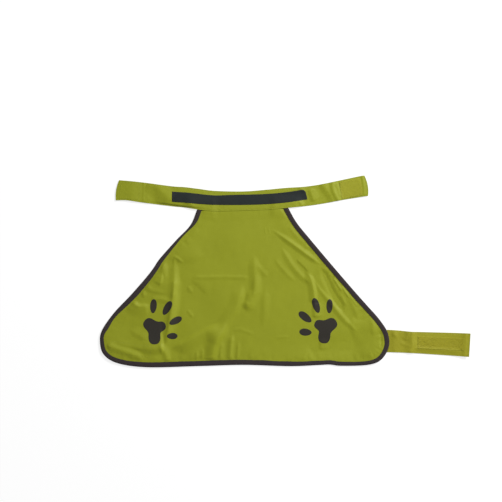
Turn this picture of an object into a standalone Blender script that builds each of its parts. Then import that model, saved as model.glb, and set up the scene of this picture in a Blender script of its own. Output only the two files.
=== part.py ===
"""A reflective dog vest, laid out flat on a surface.

The maker cuts one back panel of lime cloth, binds its raw sides and hem with black tape, and
sews a doubled neck band over its top, with a reflective strip along the band. A doubled belly
strap is caught under the panel's right corner. Two hook and loop fastenings close the collar
and the strap, and two paw prints of reflective film are pressed on the panel.

Units are metres and +Z is up. The origin is on the back line, about midway between the neck seam
and the hem, on the surface that the vest lies on. Left and right are as seen from above with
the neck away from the viewer.
"""

import math

import bmesh
import bpy
import numpy as np

# ---------------------------------------------------------------- driving sizes

CLOTH = 0.0010        # wall of one layer of cloth, or of one layer of tape
DOUBLED = 0.0020      # wall of a strip that is sewn double
PATCH = 0.0012        # wall of hook tape and of loop tape
FILM = 0.0006         # wall of the reflective film of the paw prints
GAP = 0.0003          # left between two pieces at a seam

BINDING = 0.0095      # reach of the folded binding, in over the panel's edge
SEAM = 0.0095         # reach of the panel's top edge, in under the neck band
STRIP = 0.0200        # width of the reflective strip
EDGE_ROOM = 0.0022    # from the outside of the binding to the raw edge of the panel
FOLD_CORNER = 0.0004  # how far the binding's folded edge is rounded off
BAND_SLOPE_LEFT = -0.130  # slope of the neck band's lower edge at the left end of the binding
BAND_SLOPE_RIGHT = 0.100  # and at the right end

NECK_TAPE = 0.0340    # width of the neck fastening
BELLY_TAPE = 0.0240   # width of the belly fastening

# The outside of the bound edge, from the left neck corner down, along the hem and up again.
OUTLINE = (
    # x, y
    (-0.0899, 0.1492),
    (-0.1030, 0.1190),
    (-0.1304, 0.0900),
    (-0.1619, 0.0545),
    (-0.1734, 0.0376),
    (-0.1870, 0.0196),
    (-0.2179, -0.0158),
    (-0.2502, -0.0500),
    (-0.2737, -0.0835),
    (-0.2783, -0.1070),
    (-0.2708, -0.1320),
    (-0.2430, -0.1490),
    (-0.1850, -0.1566),
    (-0.0840, -0.1543),
    (0.0000, -0.1520),
    (0.0900, -0.1545),
    (0.1460, -0.1523),
    (0.1670, -0.1514),
    (0.1900, -0.1538),
    (0.2400, -0.1520),
    (0.2665, -0.1420),
    (0.2815, -0.1170),
    (0.2796, -0.0900),
    (0.2635, -0.0638),
    (0.2400, -0.0370),
    (0.2157, -0.0097),
    (0.1703, 0.0430),
    (0.1265, 0.0950),
    (0.1030, 0.1242),
    (0.0869, 0.1522),
)
LEFT_CORNER = 10      # row of OUTLINE where the left side turns into the hem
RIGHT_CORNER = 20     # row of OUTLINE where the hem turns into the right side

# High on the left side the binding has rolled under, so that less of it shows from above.
ROLLED = {"from_neck": 0.062, "half_length": 0.072, "turned_under": 0.0045}

# Lines across the neck band, from its left end to its right end.
NECK_BAND = (
    # name, x and y at the upper edge, x and y at the lower edge, share of the line down to
    # the middle of the reflective strip, bow of the line towards the right end
    ("left end", -0.2412, 0.2062, -0.2476, 0.1670, 0.53, -0.0026),
    ("left tip", -0.2220, 0.2046, -0.2260, 0.1670, 0.53, 0.0),
    ("left patch", -0.1935, 0.2016, -0.1965, 0.1627, 0.53, 0.0),
    ("strip start", -0.1382, 0.1943, -0.1388, 0.1556, 0.52, 0.0),
    ("left of neck", -0.1140, 0.1927, -0.1150, 0.1533, 0.51, 0.0),
    ("left neck corner", -0.0870, 0.1894, -0.0885, 0.1493, 0.48, 0.0),
    ("left quarter", -0.0550, 0.1855, -0.0560, 0.1460, 0.433, 0.0),
    ("back line", 0.0000, 0.1845, 0.0000, 0.1472, 0.437, 0.0),
    ("right quarter", 0.0450, 0.1878, 0.0460, 0.1488, 0.465, 0.0),
    ("right neck corner", 0.0820, 0.1913, 0.0880, 0.1525, 0.468, 0.0),
    ("strip end", 0.1182, 0.1936, 0.1270, 0.1566, 0.405, 0.0),
    ("right of neck", 0.1500, 0.1982, 0.1580, 0.1613, 0.46, 0.0),
    ("right patch", 0.1850, 0.2054, 0.1910, 0.1675, 0.50, 0.0),
    ("patch end", 0.2250, 0.2139, 0.2310, 0.1741, 0.50, 0.0020),
    ("right end", 0.2344, 0.2152, 0.2414, 0.1754, 0.50, 0.0032),
)
STRIP_CORNER = 0.0050  # how far down the strip's upper corner is cut away at its right end

# Lines across the belly strap, from the end under the panel to the free end.
BELLY_STRAP = (
    # the same columns, down to the middle of the hook tape
    ("caught end", 0.2570, -0.0842, 0.2570, -0.1274, 0.48, 0.0),
    ("way out", 0.2880, -0.0843, 0.2880, -0.1277, 0.48, 0.0),
    ("crease", 0.3260, -0.0876, 0.3260, -0.1291, 0.48, 0.0),
    ("patch start", 0.3385, -0.0880, 0.3375, -0.1298, 0.48, 0.0),
    ("patch end", 0.4290, -0.0904, 0.4265, -0.1356, 0.48, 0.0),
    ("free end", 0.4396, -0.0912, 0.4368, -0.1362, 0.48, 0.0),
)

# The panel's largest folds, each a soft ridge from one point to another.
PANEL_FOLDS = (
    # name, x and y of its start, x and y of its end, height, reach to either side
    ("left pressed fold", -0.1300, 0.0600, -0.1260, -0.1050, 0.0030, 0.0125),
    ("left hem fold", -0.1580, -0.1130, -0.1460, -0.1420, 0.0022, 0.0120),
    ("left upper ripple", -0.2050, -0.0050, -0.1560, 0.0020, 0.0016, 0.0120),
    ("left lower ripple", -0.2120, -0.0300, -0.1450, -0.0200, 0.0018, 0.0120),
    ("left corner fold", -0.2560, -0.1050, -0.1700, -0.1320, 0.0018, 0.0130),
    ("hem ripple", -0.1330, -0.1260, -0.0450, -0.0760, 0.0020, 0.0150),
    ("long slant", 0.0010, -0.0200, -0.0560, -0.1350, 0.0022, 0.0150),
    ("hem pleat", -0.0200, -0.0900, -0.0240, -0.1360, 0.0018, 0.0110),
    ("middle pressed fold", 0.0270, 0.0480, 0.0240, -0.0560, 0.0016, 0.0125),
    ("pressed across", -0.0980, 0.0180, 0.1150, 0.0160, 0.0010, 0.0110),
    ("right pressed fold", 0.1500, -0.0960, 0.1500, -0.1400, 0.0016, 0.0120),
    ("upper right fold", 0.0620, 0.1060, 0.1480, 0.0480, 0.0032, 0.0125),
    ("middle right fold", 0.0800, 0.0620, 0.1450, 0.0080, 0.0026, 0.0125),
    ("lower right fold", 0.1380, 0.0100, 0.2130, -0.0800, 0.0032, 0.0125),
    ("outer right fold", 0.1640, 0.0180, 0.1960, -0.0420, 0.0022, 0.0115),
)

# Folds of the neck band and of the belly strap, in the same columns.
STRIP_FOLDS = (
    ("left twist", -0.1780, 0.2000, -0.1500, 0.1580, 0.0022, 0.0120),
    ("end of strip", 0.1260, 0.1950, 0.1380, 0.1600, 0.0012, 0.0100),
    ("right bulge", 0.1720, 0.2040, 0.1780, 0.1680, 0.0018, 0.0120),
    ("strap bend", 0.3260, -0.0850, 0.3250, -0.1320, 0.0020, 0.0120),
)

# The loop tape under the left corner, where the belly strap fastens.
BELLY_MATE = {"x": -0.2180, "y": -0.1215, "length": 0.0800, "width": 0.0230, "tilt": -8.0}

# The stretch of the belly strap that the right corner lies on.
STRAP_END = {"x": 0.2750, "y": -0.1060, "length": 0.0400, "width": 0.0460, "tilt": 0.0}

# Where the neck band passes over other pieces, as distances from the back line.
PANEL_RISE = 0.0480   # outside this the binding lifts the panel's top edge
PANEL_SIDE = 0.1000   # here the panel's top edge ends
PANEL_TOP = 0.1615    # height on the back line of the panel's top edge, under the band
LOOP_SIDE = 0.1900    # outside this the left end lies on its loop tape

# A paw print's pad: lobes that swell out from a round middle.
PAD_MIDDLE = 0.0143
PAD_LOBES = (
    # name, direction in degrees, swell, spread in degrees
    ("inner lobe", 17.0, 0.0084, 33.0),
    ("outer lobe", 141.0, 0.0100, 41.0),
    ("foot", 270.5, 0.0165, 34.5),
)
PAD_FLATNESS = 3.0    # how flat each lobe is at its tip: 2 is a plain bell
PAD_POINTS = 36
TOE_POINTS = 14
TOE_FULLNESS = 0.10   # how much fuller a toe is at its outer end
LEFT_TOES = (
    # x and y from the middle of the pad, length, width, direction in degrees
    (-0.0020, 0.0430, 0.0274, 0.0127, 85.0),
    (0.0250, 0.0395, 0.0300, 0.0134, 60.0),
    (0.0411, 0.0148, 0.0260, 0.0130, 27.0),
    (0.0344, -0.0150, 0.0203, 0.0122, 0.0),
)
RIGHT_TOES = (
    (-0.0027, 0.0420, 0.0274, 0.0120, 85.0),
    (0.0232, 0.0403, 0.0300, 0.0134, 65.0),
    (0.0417, 0.0155, 0.0299, 0.0146, 31.0),
    (0.0374, -0.0136, 0.0238, 0.0138, -2.0),
)
PAWS = (
    # name, x and y of the middle of the pad, side (-1 turns the print over), turn in degrees,
    # toes
    ("left_paw", -0.1725, -0.0810, 1.0, 0.0, LEFT_TOES),
    ("right_paw", 0.1590, -0.0795, -1.0, -7.0, RIGHT_TOES),
)

# ---------------------------------------------------------------- how finely each piece is divided

PANEL_COLUMNS = 52
PANEL_ROWS = 28
BINDING_STEP = 0.0110
STRIP_STEP = 0.0100
CURVE_PARTS = 20      # straight parts of a smooth curve between two rows of its table

# How far each lift takes to fade out.
RIM_PLATEAU = 0.0180
RIM_FADE = 0.0160
STRAP_FADE = 0.0440
MATE_FADE = 0.0420
FOLD_EDGE = 0.0130
SEAM_FADE = 0.0200
RISE_FADE = 0.0140

WELD = 0.00001        # points nearer than this are one point
SHARP_ANGLE = 40.0    # degrees between two faces past which their edge is drawn sharp
CUTTER_BOTTOM = -0.0100
CUTTER_HEIGHT = 0.0300


# ---------------------------------------------------------------- small helpers


def clear_scene():
    for thing in list(bpy.data.objects):
        bpy.data.objects.remove(thing, do_unlink=True)


def collection(name):
    made = bpy.data.collections.new(name)
    bpy.context.scene.collection.children.link(made)
    return made


def finish(name, red, green, blue, roughness, metallic=0.0):
    """A material of one display colour, given from 0 to 255."""
    made = bpy.data.materials.new(name)
    made.use_nodes = True
    shader = made.node_tree.nodes["Principled BSDF"]
    linear = [(level / 255.0) ** 2.2 for level in (red, green, blue)]
    shader.inputs["Base Color"].default_value = (*linear, 1.0)
    shader.inputs["Roughness"].default_value = roughness
    shader.inputs["Metallic"].default_value = metallic
    made.diffuse_color = (*linear, 1.0)
    return made


def ease(share):
    """0 below 0, 1 above 1, and a soft start and stop between."""
    held = np.clip(share, 0.0, 1.0)
    return held * held * (3.0 - 2.0 * held)


def turned(x, y, degrees):
    """A point turned anticlockwise about the origin."""
    angle = math.radians(degrees)
    return x * math.cos(angle) - y * math.sin(angle), x * math.sin(angle) + y * math.cos(angle)


def smooth_rows(rows):
    """Points along a smooth curve through every row, CURVE_PARTS to a row."""
    given = np.array(rows, float)
    before = 2.0 * given[0] - given[1]
    after = 2.0 * given[-1] - given[-2]
    padded = np.vstack([before, given, after])
    points = []
    for a, b, c, d in zip(padded, padded[1:], padded[2:], padded[3:]):
        for step in range(CURVE_PARTS):
            t = step / CURVE_PARTS
            bend = (2.0 * a - 5.0 * b + 4.0 * c - d) * t**2
            twist = (3.0 * b - a - 3.0 * c + d) * t**3
            points.append(0.5 * (2.0 * b + (c - a) * t + bend + twist))
    points.append(given[-1])
    return np.array(points)


def evenly(points, count):
    """The same curve as count points at equal distances."""
    lengths = np.linalg.norm(np.diff(points, axis=0), axis=1)
    run = np.concatenate([[0.0], np.cumsum(lengths)])
    wanted = np.linspace(0.0, run[-1], count)
    columns = [np.interp(wanted, run, points[:, k]) for k in range(points.shape[1])]
    return np.column_stack(columns)


def curve_length(points):
    return float(np.linalg.norm(np.diff(points, axis=0), axis=1).sum())


def inward(points):
    """At each point of a curve that runs anticlockwise, the direction into its inside."""
    along = np.gradient(points, axis=0)
    along /= np.linalg.norm(along, axis=1)[:, None]
    return np.column_stack([-along[:, 1], along[:, 0]])


# ---------------------------------------------------------------- heights above the surface


def distance_to_curve(x, y, curve):
    """The shortest distance from each point to a curve of straight parts."""
    spot = np.stack([np.asarray(x, float), np.asarray(y, float)], axis=-1)[..., None, :]
    start = curve[:-1]
    along = curve[1:] - start
    share = ((spot - start) * along).sum(-1) / (along * along).sum(-1)
    nearest = start + np.clip(share, 0.0, 1.0)[..., None] * along
    return np.linalg.norm(spot - nearest, axis=-1).min(-1)


def folds_at(x, y, folds):
    """The height that a table of folds adds at a point."""
    height = 0.0
    for _, x0, y0, x1, y1, high, reach in folds:
        line = np.array([[x0, y0], [x1, y1]])
        away = distance_to_curve(x, y, line) / reach
        height = np.maximum(height, high * np.clip(1.0 - away**2, 0.0, 1.0) ** 2)
    return height


def beyond(x, y, place):
    """How far a point lies outside a turned rectangle, and 0 inside it."""
    along, across = turned(x - place["x"], y - place["y"], -place["tilt"])
    past_end = np.maximum(np.abs(along) - place["length"] / 2, 0.0)
    past_side = np.maximum(np.abs(across) - place["width"] / 2, 0.0)
    return np.hypot(past_end, past_side)


OUTLINE_CURVE = smooth_rows(OUTLINE)
LEFT_TURN = LEFT_CORNER * CURVE_PARTS
RIGHT_TURN = RIGHT_CORNER * CURVE_PARTS


def seam_end(tip, before):
    """Where an edge of the panel ends, a seam's width past the end of the binding."""
    away = tip - before
    return tip + away / np.linalg.norm(away) * SEAM


RIM_CURVE = np.vstack(
    [
        seam_end(OUTLINE_CURVE[0], OUTLINE_CURVE[2]),
        OUTLINE_CURVE,
        seam_end(OUTLINE_CURVE[-1], OUTLINE_CURVE[-3]),
    ]
)


def underlay(x, y):
    """How high the panel's edge is carried by the strap's end and by the loop tape."""
    over_strap = (DOUBLED + GAP) * (1.0 - ease(beyond(x, y, STRAP_END) / STRAP_FADE))
    over_tape = (PATCH + GAP) * (1.0 - ease(beyond(x, y, BELLY_MATE) / MATE_FADE))
    return np.maximum(over_strap, over_tape)


def panel_floor(x, y):
    """The underside of the panel: over the binding's lower leg, and up in the folds."""
    from_edge = distance_to_curve(x, y, RIM_CURVE)
    over_leg = (CLOTH + GAP) * (1.0 - ease((from_edge - RIM_PLATEAU) / RIM_FADE))
    inside = ease((from_edge - FOLD_EDGE) / RIM_FADE)
    return underlay(x, y) + over_leg + folds_at(x, y, PANEL_FOLDS) * inside


def band_floor(x, y):
    """The underside of the neck band: over the panel's top, and over the loop tape."""
    sideways = np.abs(x)
    layers = 1.0 + ease((sideways - PANEL_RISE) / RISE_FADE)
    beside_panel = 1.0 - ease((sideways - PANEL_SIDE) / SEAM_FADE)
    below_top = 1.0 - ease((y - PANEL_TOP) / SEAM_FADE)
    over_panel = (CLOTH + GAP) * layers * beside_panel * below_top
    over_tape = (PATCH + GAP) * (1.0 - ease((x + LOOP_SIDE) / SEAM_FADE))
    return over_panel + over_tape + folds_at(x, y, STRIP_FOLDS)


def strap_floor(x, y):
    return folds_at(x, y, STRIP_FOLDS)


def flat_floor(x, y):
    return np.zeros(np.shape(x))


# ---------------------------------------------------------------- cloth as a closed wall


def add_object(name, shape, material, home):
    """Closes a bmesh into an object with its faces turned outwards."""
    bmesh.ops.recalc_face_normals(shape, faces=shape.faces)
    mesh = bpy.data.meshes.new(name)
    shape.to_mesh(mesh)
    shape.free()
    mesh.materials.append(material)
    mesh.shade_smooth()
    mesh.set_sharp_from_angle(angle=math.radians(SHARP_ANGLE))
    made = bpy.data.objects.new(name, mesh)
    home.objects.link(made)
    return made


def wall(name, points, thickness, material, home):
    """A sheet through a net of points, thickened straight up into a closed wall.

    The net is split into triangles first, so that a piece made over the same points, moved up,
    has the same flat faces and stays clear all over.
    """
    columns = points.shape[0] - 1
    rows = points.shape[1] - 1
    shape = bmesh.new()
    bmesh.ops.create_grid(shape, x_segments=columns, y_segments=rows, size=0.5)
    for corner in shape.verts:
        column = round((corner.co.x + 0.5) * columns)
        row = round((corner.co.y + 0.5) * rows)
        corner.co = points[column, row]
    bmesh.ops.triangulate(shape, faces=shape.faces[:], quad_method="FIXED")
    raised = bmesh.ops.extrude_face_region(shape, geom=shape.faces[:])["geom"]
    top = [item for item in raised if isinstance(item, bmesh.types.BMVert)]
    bmesh.ops.translate(shape, verts=top, vec=(0.0, 0.0, thickness))
    return add_object(name, shape, material, home)


def swept(name, rings, material, home):
    """A closed ring of points carried through every section, with both ends filled."""
    sections, around = rings.shape[:2]
    shape = bmesh.new()
    bmesh.ops.create_grid(shape, x_segments=sections - 1, y_segments=around, size=0.5)
    for corner in shape.verts:
        section = round((corner.co.x + 0.5) * (sections - 1))
        step = round((corner.co.y + 0.5) * around) % around
        corner.co = rings[section, step]
    bmesh.ops.remove_doubles(shape, verts=shape.verts, dist=WELD)
    open_edges = [edge for edge in shape.edges if edge.is_boundary]
    bmesh.ops.holes_fill(shape, edges=open_edges, sides=0)
    return add_object(name, shape, material, home)


# ---------------------------------------------------------------- the back panel


def panel_plan():
    """The net of the panel seen from above, blended between its four edges."""
    edge = RIM_CURVE + inward(RIM_CURVE) * EDGE_ROOM
    left = evenly(edge[: LEFT_TURN + 2], PANEL_ROWS + 1)
    hem = evenly(edge[LEFT_TURN + 1 : RIGHT_TURN + 2], PANEL_COLUMNS + 1)
    right = evenly(edge[RIGHT_TURN + 1 :][::-1], PANEL_ROWS + 1)
    top = evenly(np.array([left[0], right[0]]), PANEL_COLUMNS + 1)
    across = np.linspace(0.0, 1.0, PANEL_COLUMNS + 1)[:, None, None]
    down = np.linspace(0.0, 1.0, PANEL_ROWS + 1)[None, :, None]
    sides = (1.0 - across) * left[None] + across * right[None]
    ends = (1.0 - down) * top[:, None] + down * hem[:, None]
    near_top = (1.0 - across) * top[0] + across * top[-1]
    near_hem = (1.0 - across) * hem[0] + across * hem[-1]
    return sides + ends - (1.0 - down) * near_top - down * near_hem


def raised(plan, height):
    """A net seen from above, given its heights."""
    return np.concatenate([plan, height[..., None]], axis=-1)


# ---------------------------------------------------------------- the binding


def binding_rings():
    """The folded tape's section at each step along the panel's edge."""
    steps = round(curve_length(OUTLINE_CURVE) / BINDING_STEP)
    path = evenly(OUTLINE_CURVE, steps + 1)
    across = inward(path)
    # Both ends are cut along the lower edge of the neck band, which butts against them.
    for end, slope in ((0, BAND_SLOPE_LEFT), (-1, BAND_SLOPE_RIGHT)):
        cut = np.array([1.0, slope])
        across[end] = cut / cut.dot(across[end])
    along = np.linspace(0.0, curve_length(OUTLINE_CURVE), steps + 1)
    from_roll = np.abs(along - ROLLED["from_neck"]) / ROLLED["half_length"]
    rolled = ROLLED["turned_under"] * (1.0 - ease(from_roll))
    inside = 2 * CLOTH + 2 * GAP
    total = inside + CLOTH
    section = (
        # reach in from the outside, share of the roll, height
        (FOLD_CORNER, 0.0, 0.0),
        (BINDING, 1.0, 0.0),
        (BINDING, 1.0, CLOTH),
        (CLOTH, 0.0, CLOTH),
        (CLOTH, 0.0, inside),
        (BINDING, -1.0, inside),
        (BINDING, -1.0, total),
        (FOLD_CORNER, 0.0, total),
        (0.0, 0.0, total / 2),
    )
    rings = []
    for reach, share, height in section:
        place = path + across * (reach + share * rolled)[:, None]
        lift = underlay(place[:, 0], place[:, 1]) + height
        rings.append(np.column_stack([place, lift]))
    return np.stack(rings, axis=1)


# ---------------------------------------------------------------- the doubled strips


def cross_lines(table):
    """Lines across a strip, STRIP_STEP apart or less, and the index of each named row."""
    curve = smooth_rows([row[1:] for row in table])
    lines = []
    index = {}
    for number, row in enumerate(table):
        index[row[0]] = len(lines)
        if number == len(table) - 1:
            lines.append(curve[-1])
            break
        part = curve[number * CURVE_PARTS : (number + 1) * CURVE_PARTS + 1]
        middle = (part[:, 0:2] + part[:, 2:4]) / 2
        count = math.ceil(curve_length(middle) / STRIP_STEP)
        lines.extend(evenly(part, count + 1)[:-1])
    return np.array(lines), index


def strip_plan(lines, lanes):
    """Points on each cross line, at the given shares of its length, moved out by its bow."""
    share = lanes[..., None]
    points = lines[:, None, 0:2] * (1.0 - share) + lines[:, None, 2:4] * share
    down = lines[:, 2:4] - lines[:, 0:2]
    ahead = np.column_stack([-down[:, 1], down[:, 0]]) / np.linalg.norm(down, axis=1)[:, None]
    bow = 4.0 * share * (1.0 - share) * lines[:, None, 5:6]
    return points + ahead[:, None] * bow


def lane(lines, middle, width):
    """Shares along each cross line of the two edges and the middle of a lane."""
    half = width / 2 / np.linalg.norm(lines[:, 2:4] - lines[:, 0:2], axis=1)
    return np.column_stack([middle - half, middle + 0.0 * half, middle + half])


def with_edges(lanes):
    """The same shares with the strip's own two edges."""
    return np.column_stack([np.zeros(len(lanes)), lanes, np.ones(len(lanes))])


def strip_wall(name, lines, lanes, floor, base, thickness, material, home):
    """A strip on a height that is read at each of its points, and raised by a base."""
    plan = strip_plan(lines, lanes)
    height = floor(plan[..., 0], plan[..., 1]) + base
    return wall(name, raised(plan, height), thickness, material, home)


# ---------------------------------------------------------------- the paw prints


def pad_outline():
    """A round middle with three lobes."""
    outline = []
    for step in range(PAD_POINTS):
        direction = 360.0 * step / PAD_POINTS
        reach = PAD_MIDDLE
        for _, lobe, swell, spread in PAD_LOBES:
            away = (direction - lobe + 180.0) % 360.0 - 180.0
            reach += swell * math.exp(-abs(away / spread) ** PAD_FLATNESS)
        outline.append(turned(reach, 0.0, direction))
    return outline


def toe_outline(x, y, length, width, direction):
    """An oval, a little fuller towards the end that points away from the pad."""
    outline = []
    for step in range(TOE_POINTS):
        angle = 2.0 * math.pi * step / TOE_POINTS
        along = math.cos(angle) * length / 2
        fullness = 1.0 + TOE_FULLNESS * math.cos(angle)
        side = math.sin(angle) * width / 2 * fullness
        shift_x, shift_y = turned(along, side, direction)
        outline.append((x + shift_x, y + shift_y))
    return outline


def print_piece(name, outline, paw, layer, material, home):
    """A piece of film: the layer over the panel, kept only inside the outline."""
    _, middle_x, middle_y, side, turn, _ = paw
    shape = bmesh.new()
    corners = []
    for x, y in outline:
        x, y = turned(x * side, y, turn)
        corners.append(shape.verts.new((middle_x + x, middle_y + y, CUTTER_BOTTOM)))
    face = shape.faces.new(corners)
    up = bmesh.ops.extrude_face_region(shape, geom=[face])["geom"]
    top = [item for item in up if isinstance(item, bmesh.types.BMVert)]
    bmesh.ops.translate(shape, verts=top, vec=(0.0, 0.0, CUTTER_HEIGHT))
    made = add_object(name, shape, material, home)
    keep = made.modifiers.new("On the panel", "BOOLEAN")
    keep.operation = "INTERSECT"
    keep.object = layer
    return made


# ---------------------------------------------------------------- the vest


def build_panel(lime, home):
    plan = panel_plan()
    under = panel_floor(plan[..., 0], plan[..., 1])
    wall("back_panel", raised(plan, under), CLOTH, lime, home)
    return plan, under


def build_neck(lime, silver, hook, loop, home):
    lines, row = cross_lines(NECK_BAND)
    lanes = lane(lines, lines[:, 4], STRIP)
    strip_wall("neck_band", lines, with_edges(lanes), band_floor, 0.0, DOUBLED, lime, home)

    along = slice(row["strip start"], row["strip end"] + 1)
    on_top = DOUBLED + GAP
    tape = lanes[along].copy()
    tape[-1, 0] += STRIP_CORNER / np.linalg.norm(lines[along][-1, 2:4] - lines[along][-1, 0:2])
    strip_wall("reflective_strip", lines[along], tape, band_floor, on_top, CLOTH, silver, home)

    right = lines[row["right patch"] : row["patch end"] + 1]
    over = lane(right, 0.5, NECK_TAPE)
    strip_wall("neck_hook_patch", right, over, band_floor, on_top, PATCH, hook, home)

    left = lines[1 : row["left patch"]]
    under = lane(left, 0.5, NECK_TAPE)
    strip_wall("neck_loop_patch", left, under, flat_floor, 0.0, PATCH, loop, home)


def build_belly(lime, hook, loop, home):
    lines, row = cross_lines(BELLY_STRAP)
    lanes = lane(lines, lines[:, 4], BELLY_TAPE)
    strip_wall("belly_strap", lines, with_edges(lanes), strap_floor, 0.0, DOUBLED, lime, home)

    part = slice(row["patch start"], row["patch end"] + 1)
    on_top = DOUBLED + GAP
    strip_wall("belly_hook_patch", lines[part], lanes[part], strap_floor, on_top, PATCH, hook, home)

    mate = BELLY_MATE
    middle = np.array([mate["x"], mate["y"]])
    along = np.array(turned(mate["length"] / 2, 0.0, mate["tilt"]))
    across = np.array(turned(0.0, mate["width"] / 2, mate["tilt"]))
    straight = [0.5, 0.0]
    ends = [[*(end + across), *(end - across), *straight] for end in (middle - along, middle + along)]
    tape = evenly(np.array(ends), round(mate["length"] / STRIP_STEP) + 1)
    shares = np.tile([0.0, 0.5, 1.0], (len(tape), 1))
    strip_wall("belly_loop_patch", tape, shares, flat_floor, 0.0, PATCH, loop, home)


def build_prints(plan, under, film, home, helpers):
    over_panel = raised(plan, under + CLOTH + GAP)
    layer = wall("film_layer", over_panel, FILM, film, helpers)
    layer.hide_render = True
    layer.display_type = "WIRE"
    for paw in PAWS:
        print_piece(paw[0] + "_pad", pad_outline(), paw, layer, film, home)
        for number, toe in enumerate(paw[-1], start=1):
            name = f"{paw[0]}_toe_{number}"
            print_piece(name, toe_outline(*toe), paw, layer, film, home)


def main():
    clear_scene()
    vest = collection("reflective_dog_vest")
    helpers = collection("cutters")
    lime = finish("Lime cloth", 143, 149, 44, 0.62)
    black = finish("Black binding tape", 50, 42, 42, 0.70)
    silver = finish("Dark reflective tape", 49, 51, 50, 0.40)
    film = finish("Dark reflective film", 55, 54, 49, 0.42)
    hook = finish("Lime hook tape", 146, 144, 45, 0.85)
    loop = finish("Lime loop tape", 150, 152, 50, 0.95)

    plan, under = build_panel(lime, vest)
    swept("edge_binding", binding_rings(), black, vest)
    build_neck(lime, silver, hook, loop, vest)
    build_belly(lime, hook, loop, vest)
    build_prints(plan, under, film, vest, helpers)


main()
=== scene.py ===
# %% [markdown]
# # A reflective dog vest, laid out flat
#
# The vest is one flared back panel of lime cloth, bound in black tape along its sides and hem.
# A doubled neck band is sewn over its top edge and carries a dark reflective strip. A doubled
# belly strap is caught under its right corner. Hook and loop tapes close both, and two paw
# prints of reflective film are pressed on the cloth.
#
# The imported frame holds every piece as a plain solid. This lesson makes the finished pieces on
# the same places: thin shells with their creases, real thread in every seam, small hooks and
# loops, and a finish for each material. Lengths are in metres, and +Z points up from the table.

# %% Load the frame
import math

import bpy
import numpy as np
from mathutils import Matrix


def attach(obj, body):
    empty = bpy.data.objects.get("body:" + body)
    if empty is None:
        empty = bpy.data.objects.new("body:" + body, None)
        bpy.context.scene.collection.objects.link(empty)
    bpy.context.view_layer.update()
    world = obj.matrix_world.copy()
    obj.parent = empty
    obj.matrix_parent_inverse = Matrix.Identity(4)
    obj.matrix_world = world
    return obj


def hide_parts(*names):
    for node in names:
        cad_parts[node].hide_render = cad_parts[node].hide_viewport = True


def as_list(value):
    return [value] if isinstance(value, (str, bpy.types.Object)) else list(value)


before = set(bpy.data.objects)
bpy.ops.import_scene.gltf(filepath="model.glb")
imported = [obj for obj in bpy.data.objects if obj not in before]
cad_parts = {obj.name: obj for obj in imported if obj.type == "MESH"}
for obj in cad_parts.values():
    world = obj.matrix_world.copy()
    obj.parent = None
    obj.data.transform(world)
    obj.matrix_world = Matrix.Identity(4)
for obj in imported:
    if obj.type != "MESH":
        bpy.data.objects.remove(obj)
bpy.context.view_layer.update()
MM = 0.001
print("pieces in the frame:", len(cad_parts))

# %% [markdown]
# ## Sums on sockets
#
# A woven surface is mostly arithmetic: a rib is a sine, a checkerboard is two floors added up.
# Node by node that arithmetic is hard to read, so a small class wraps an output socket and
# gives it the usual signs. Writing `1 - rib` then adds the Math node that does it.

# %% A socket that can be added and multiplied
class Wire:
    def __init__(self, finish, socket):
        self.finish = finish
        self.socket = socket

    def math(self, operation, *others):
        return self.finish.math(operation, self, *others)

    def __add__(self, other):
        return self.math("ADD", other)

    def __sub__(self, other):
        return self.math("SUBTRACT", other)

    def __rsub__(self, other):
        return self.finish.math("SUBTRACT", other, self)

    def __mul__(self, other):
        return self.math("MULTIPLY", other)

    def __truediv__(self, other):
        return self.math("DIVIDE", other)

    __radd__ = __add__
    __rmul__ = __mul__


# %% A finish: the nodes of one material, or of the world
class Finish:
    def __init__(self, owner, shader="Principled BSDF"):
        owner.use_nodes = True
        self.owner = owner
        self.nodes = owner.node_tree.nodes
        self.links = owner.node_tree.links
        self.shader = self.nodes[shader]

    def feed(self, socket, value):
        if isinstance(value, Wire):
            self.links.new(value.socket, socket)
        elif isinstance(value, tuple) and len(value) == 3 and socket.type == "RGBA":
            socket.default_value = (*value, 1.0)
        else:
            socket.default_value = value

    def add(self, kind, settings, values, output=0):
        node = self.nodes.new(kind)
        for name, setting in settings.items():
            setattr(node, name, setting)
        for socket, value in values.items():
            self.feed(node.inputs[socket], value)
        return Wire(self, node.outputs[output])

    def math(self, operation, *values):
        return self.add("ShaderNodeMath", {"operation": operation}, dict(enumerate(values)))

    def mix(self, share, first, second):
        settings = {"data_type": "RGBA", "clamp_factor": True}
        return self.add("ShaderNodeMix", settings, {0: share, 6: first, 7: second}, output=2)

    def noise(self, place, size):
        """Soft noise from 0 to 1, whose patches measure about a given size in metres."""
        return self.add("ShaderNodeTexNoise", {}, {"Vector": place, "Scale": 1.0 / size})

    def bump(self, height, depth, strength=1.0, under=None):
        values = {"Height": height, "Distance": depth, "Strength": strength}
        if under is not None:
            values["Normal"] = under
        return self.add("ShaderNodeBump", {}, values)

    def set(self, **values):
        """Sets the shader's sockets: an underscore in a name stands for a space."""
        for name, value in values.items():
            self.feed(self.shader.inputs[name.replace("_", " ")], value)


# %% [markdown]
# ## Colour
#
# Dyed cloth is easiest to name as a display colour, from 0 to 255. The shader works in linear
# light, so each colour is converted once, here.

# %% Display colours to linear light
def linear(share):
    return share / 12.92 if share <= 0.04045 else ((share + 0.055) / 1.055) ** 2.4


def dye(*levels):
    return tuple(linear(level / 255.0) for level in levels)


def scaled(colour, factor):
    return tuple(level * factor for level in colour)


LIME = dye(135, 141, 12)
WARM_LIME = dye(140, 137, 14)
BLACK = dye(47, 40, 40)
print("lime in linear light:", [round(level, 3) for level in LIME])

# %% [markdown]
# ## Camera
#
# The vest lies on a table and is looked at from straight above. A long lens keeps the outline
# true, because near and far parts are then almost at one distance.

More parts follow.
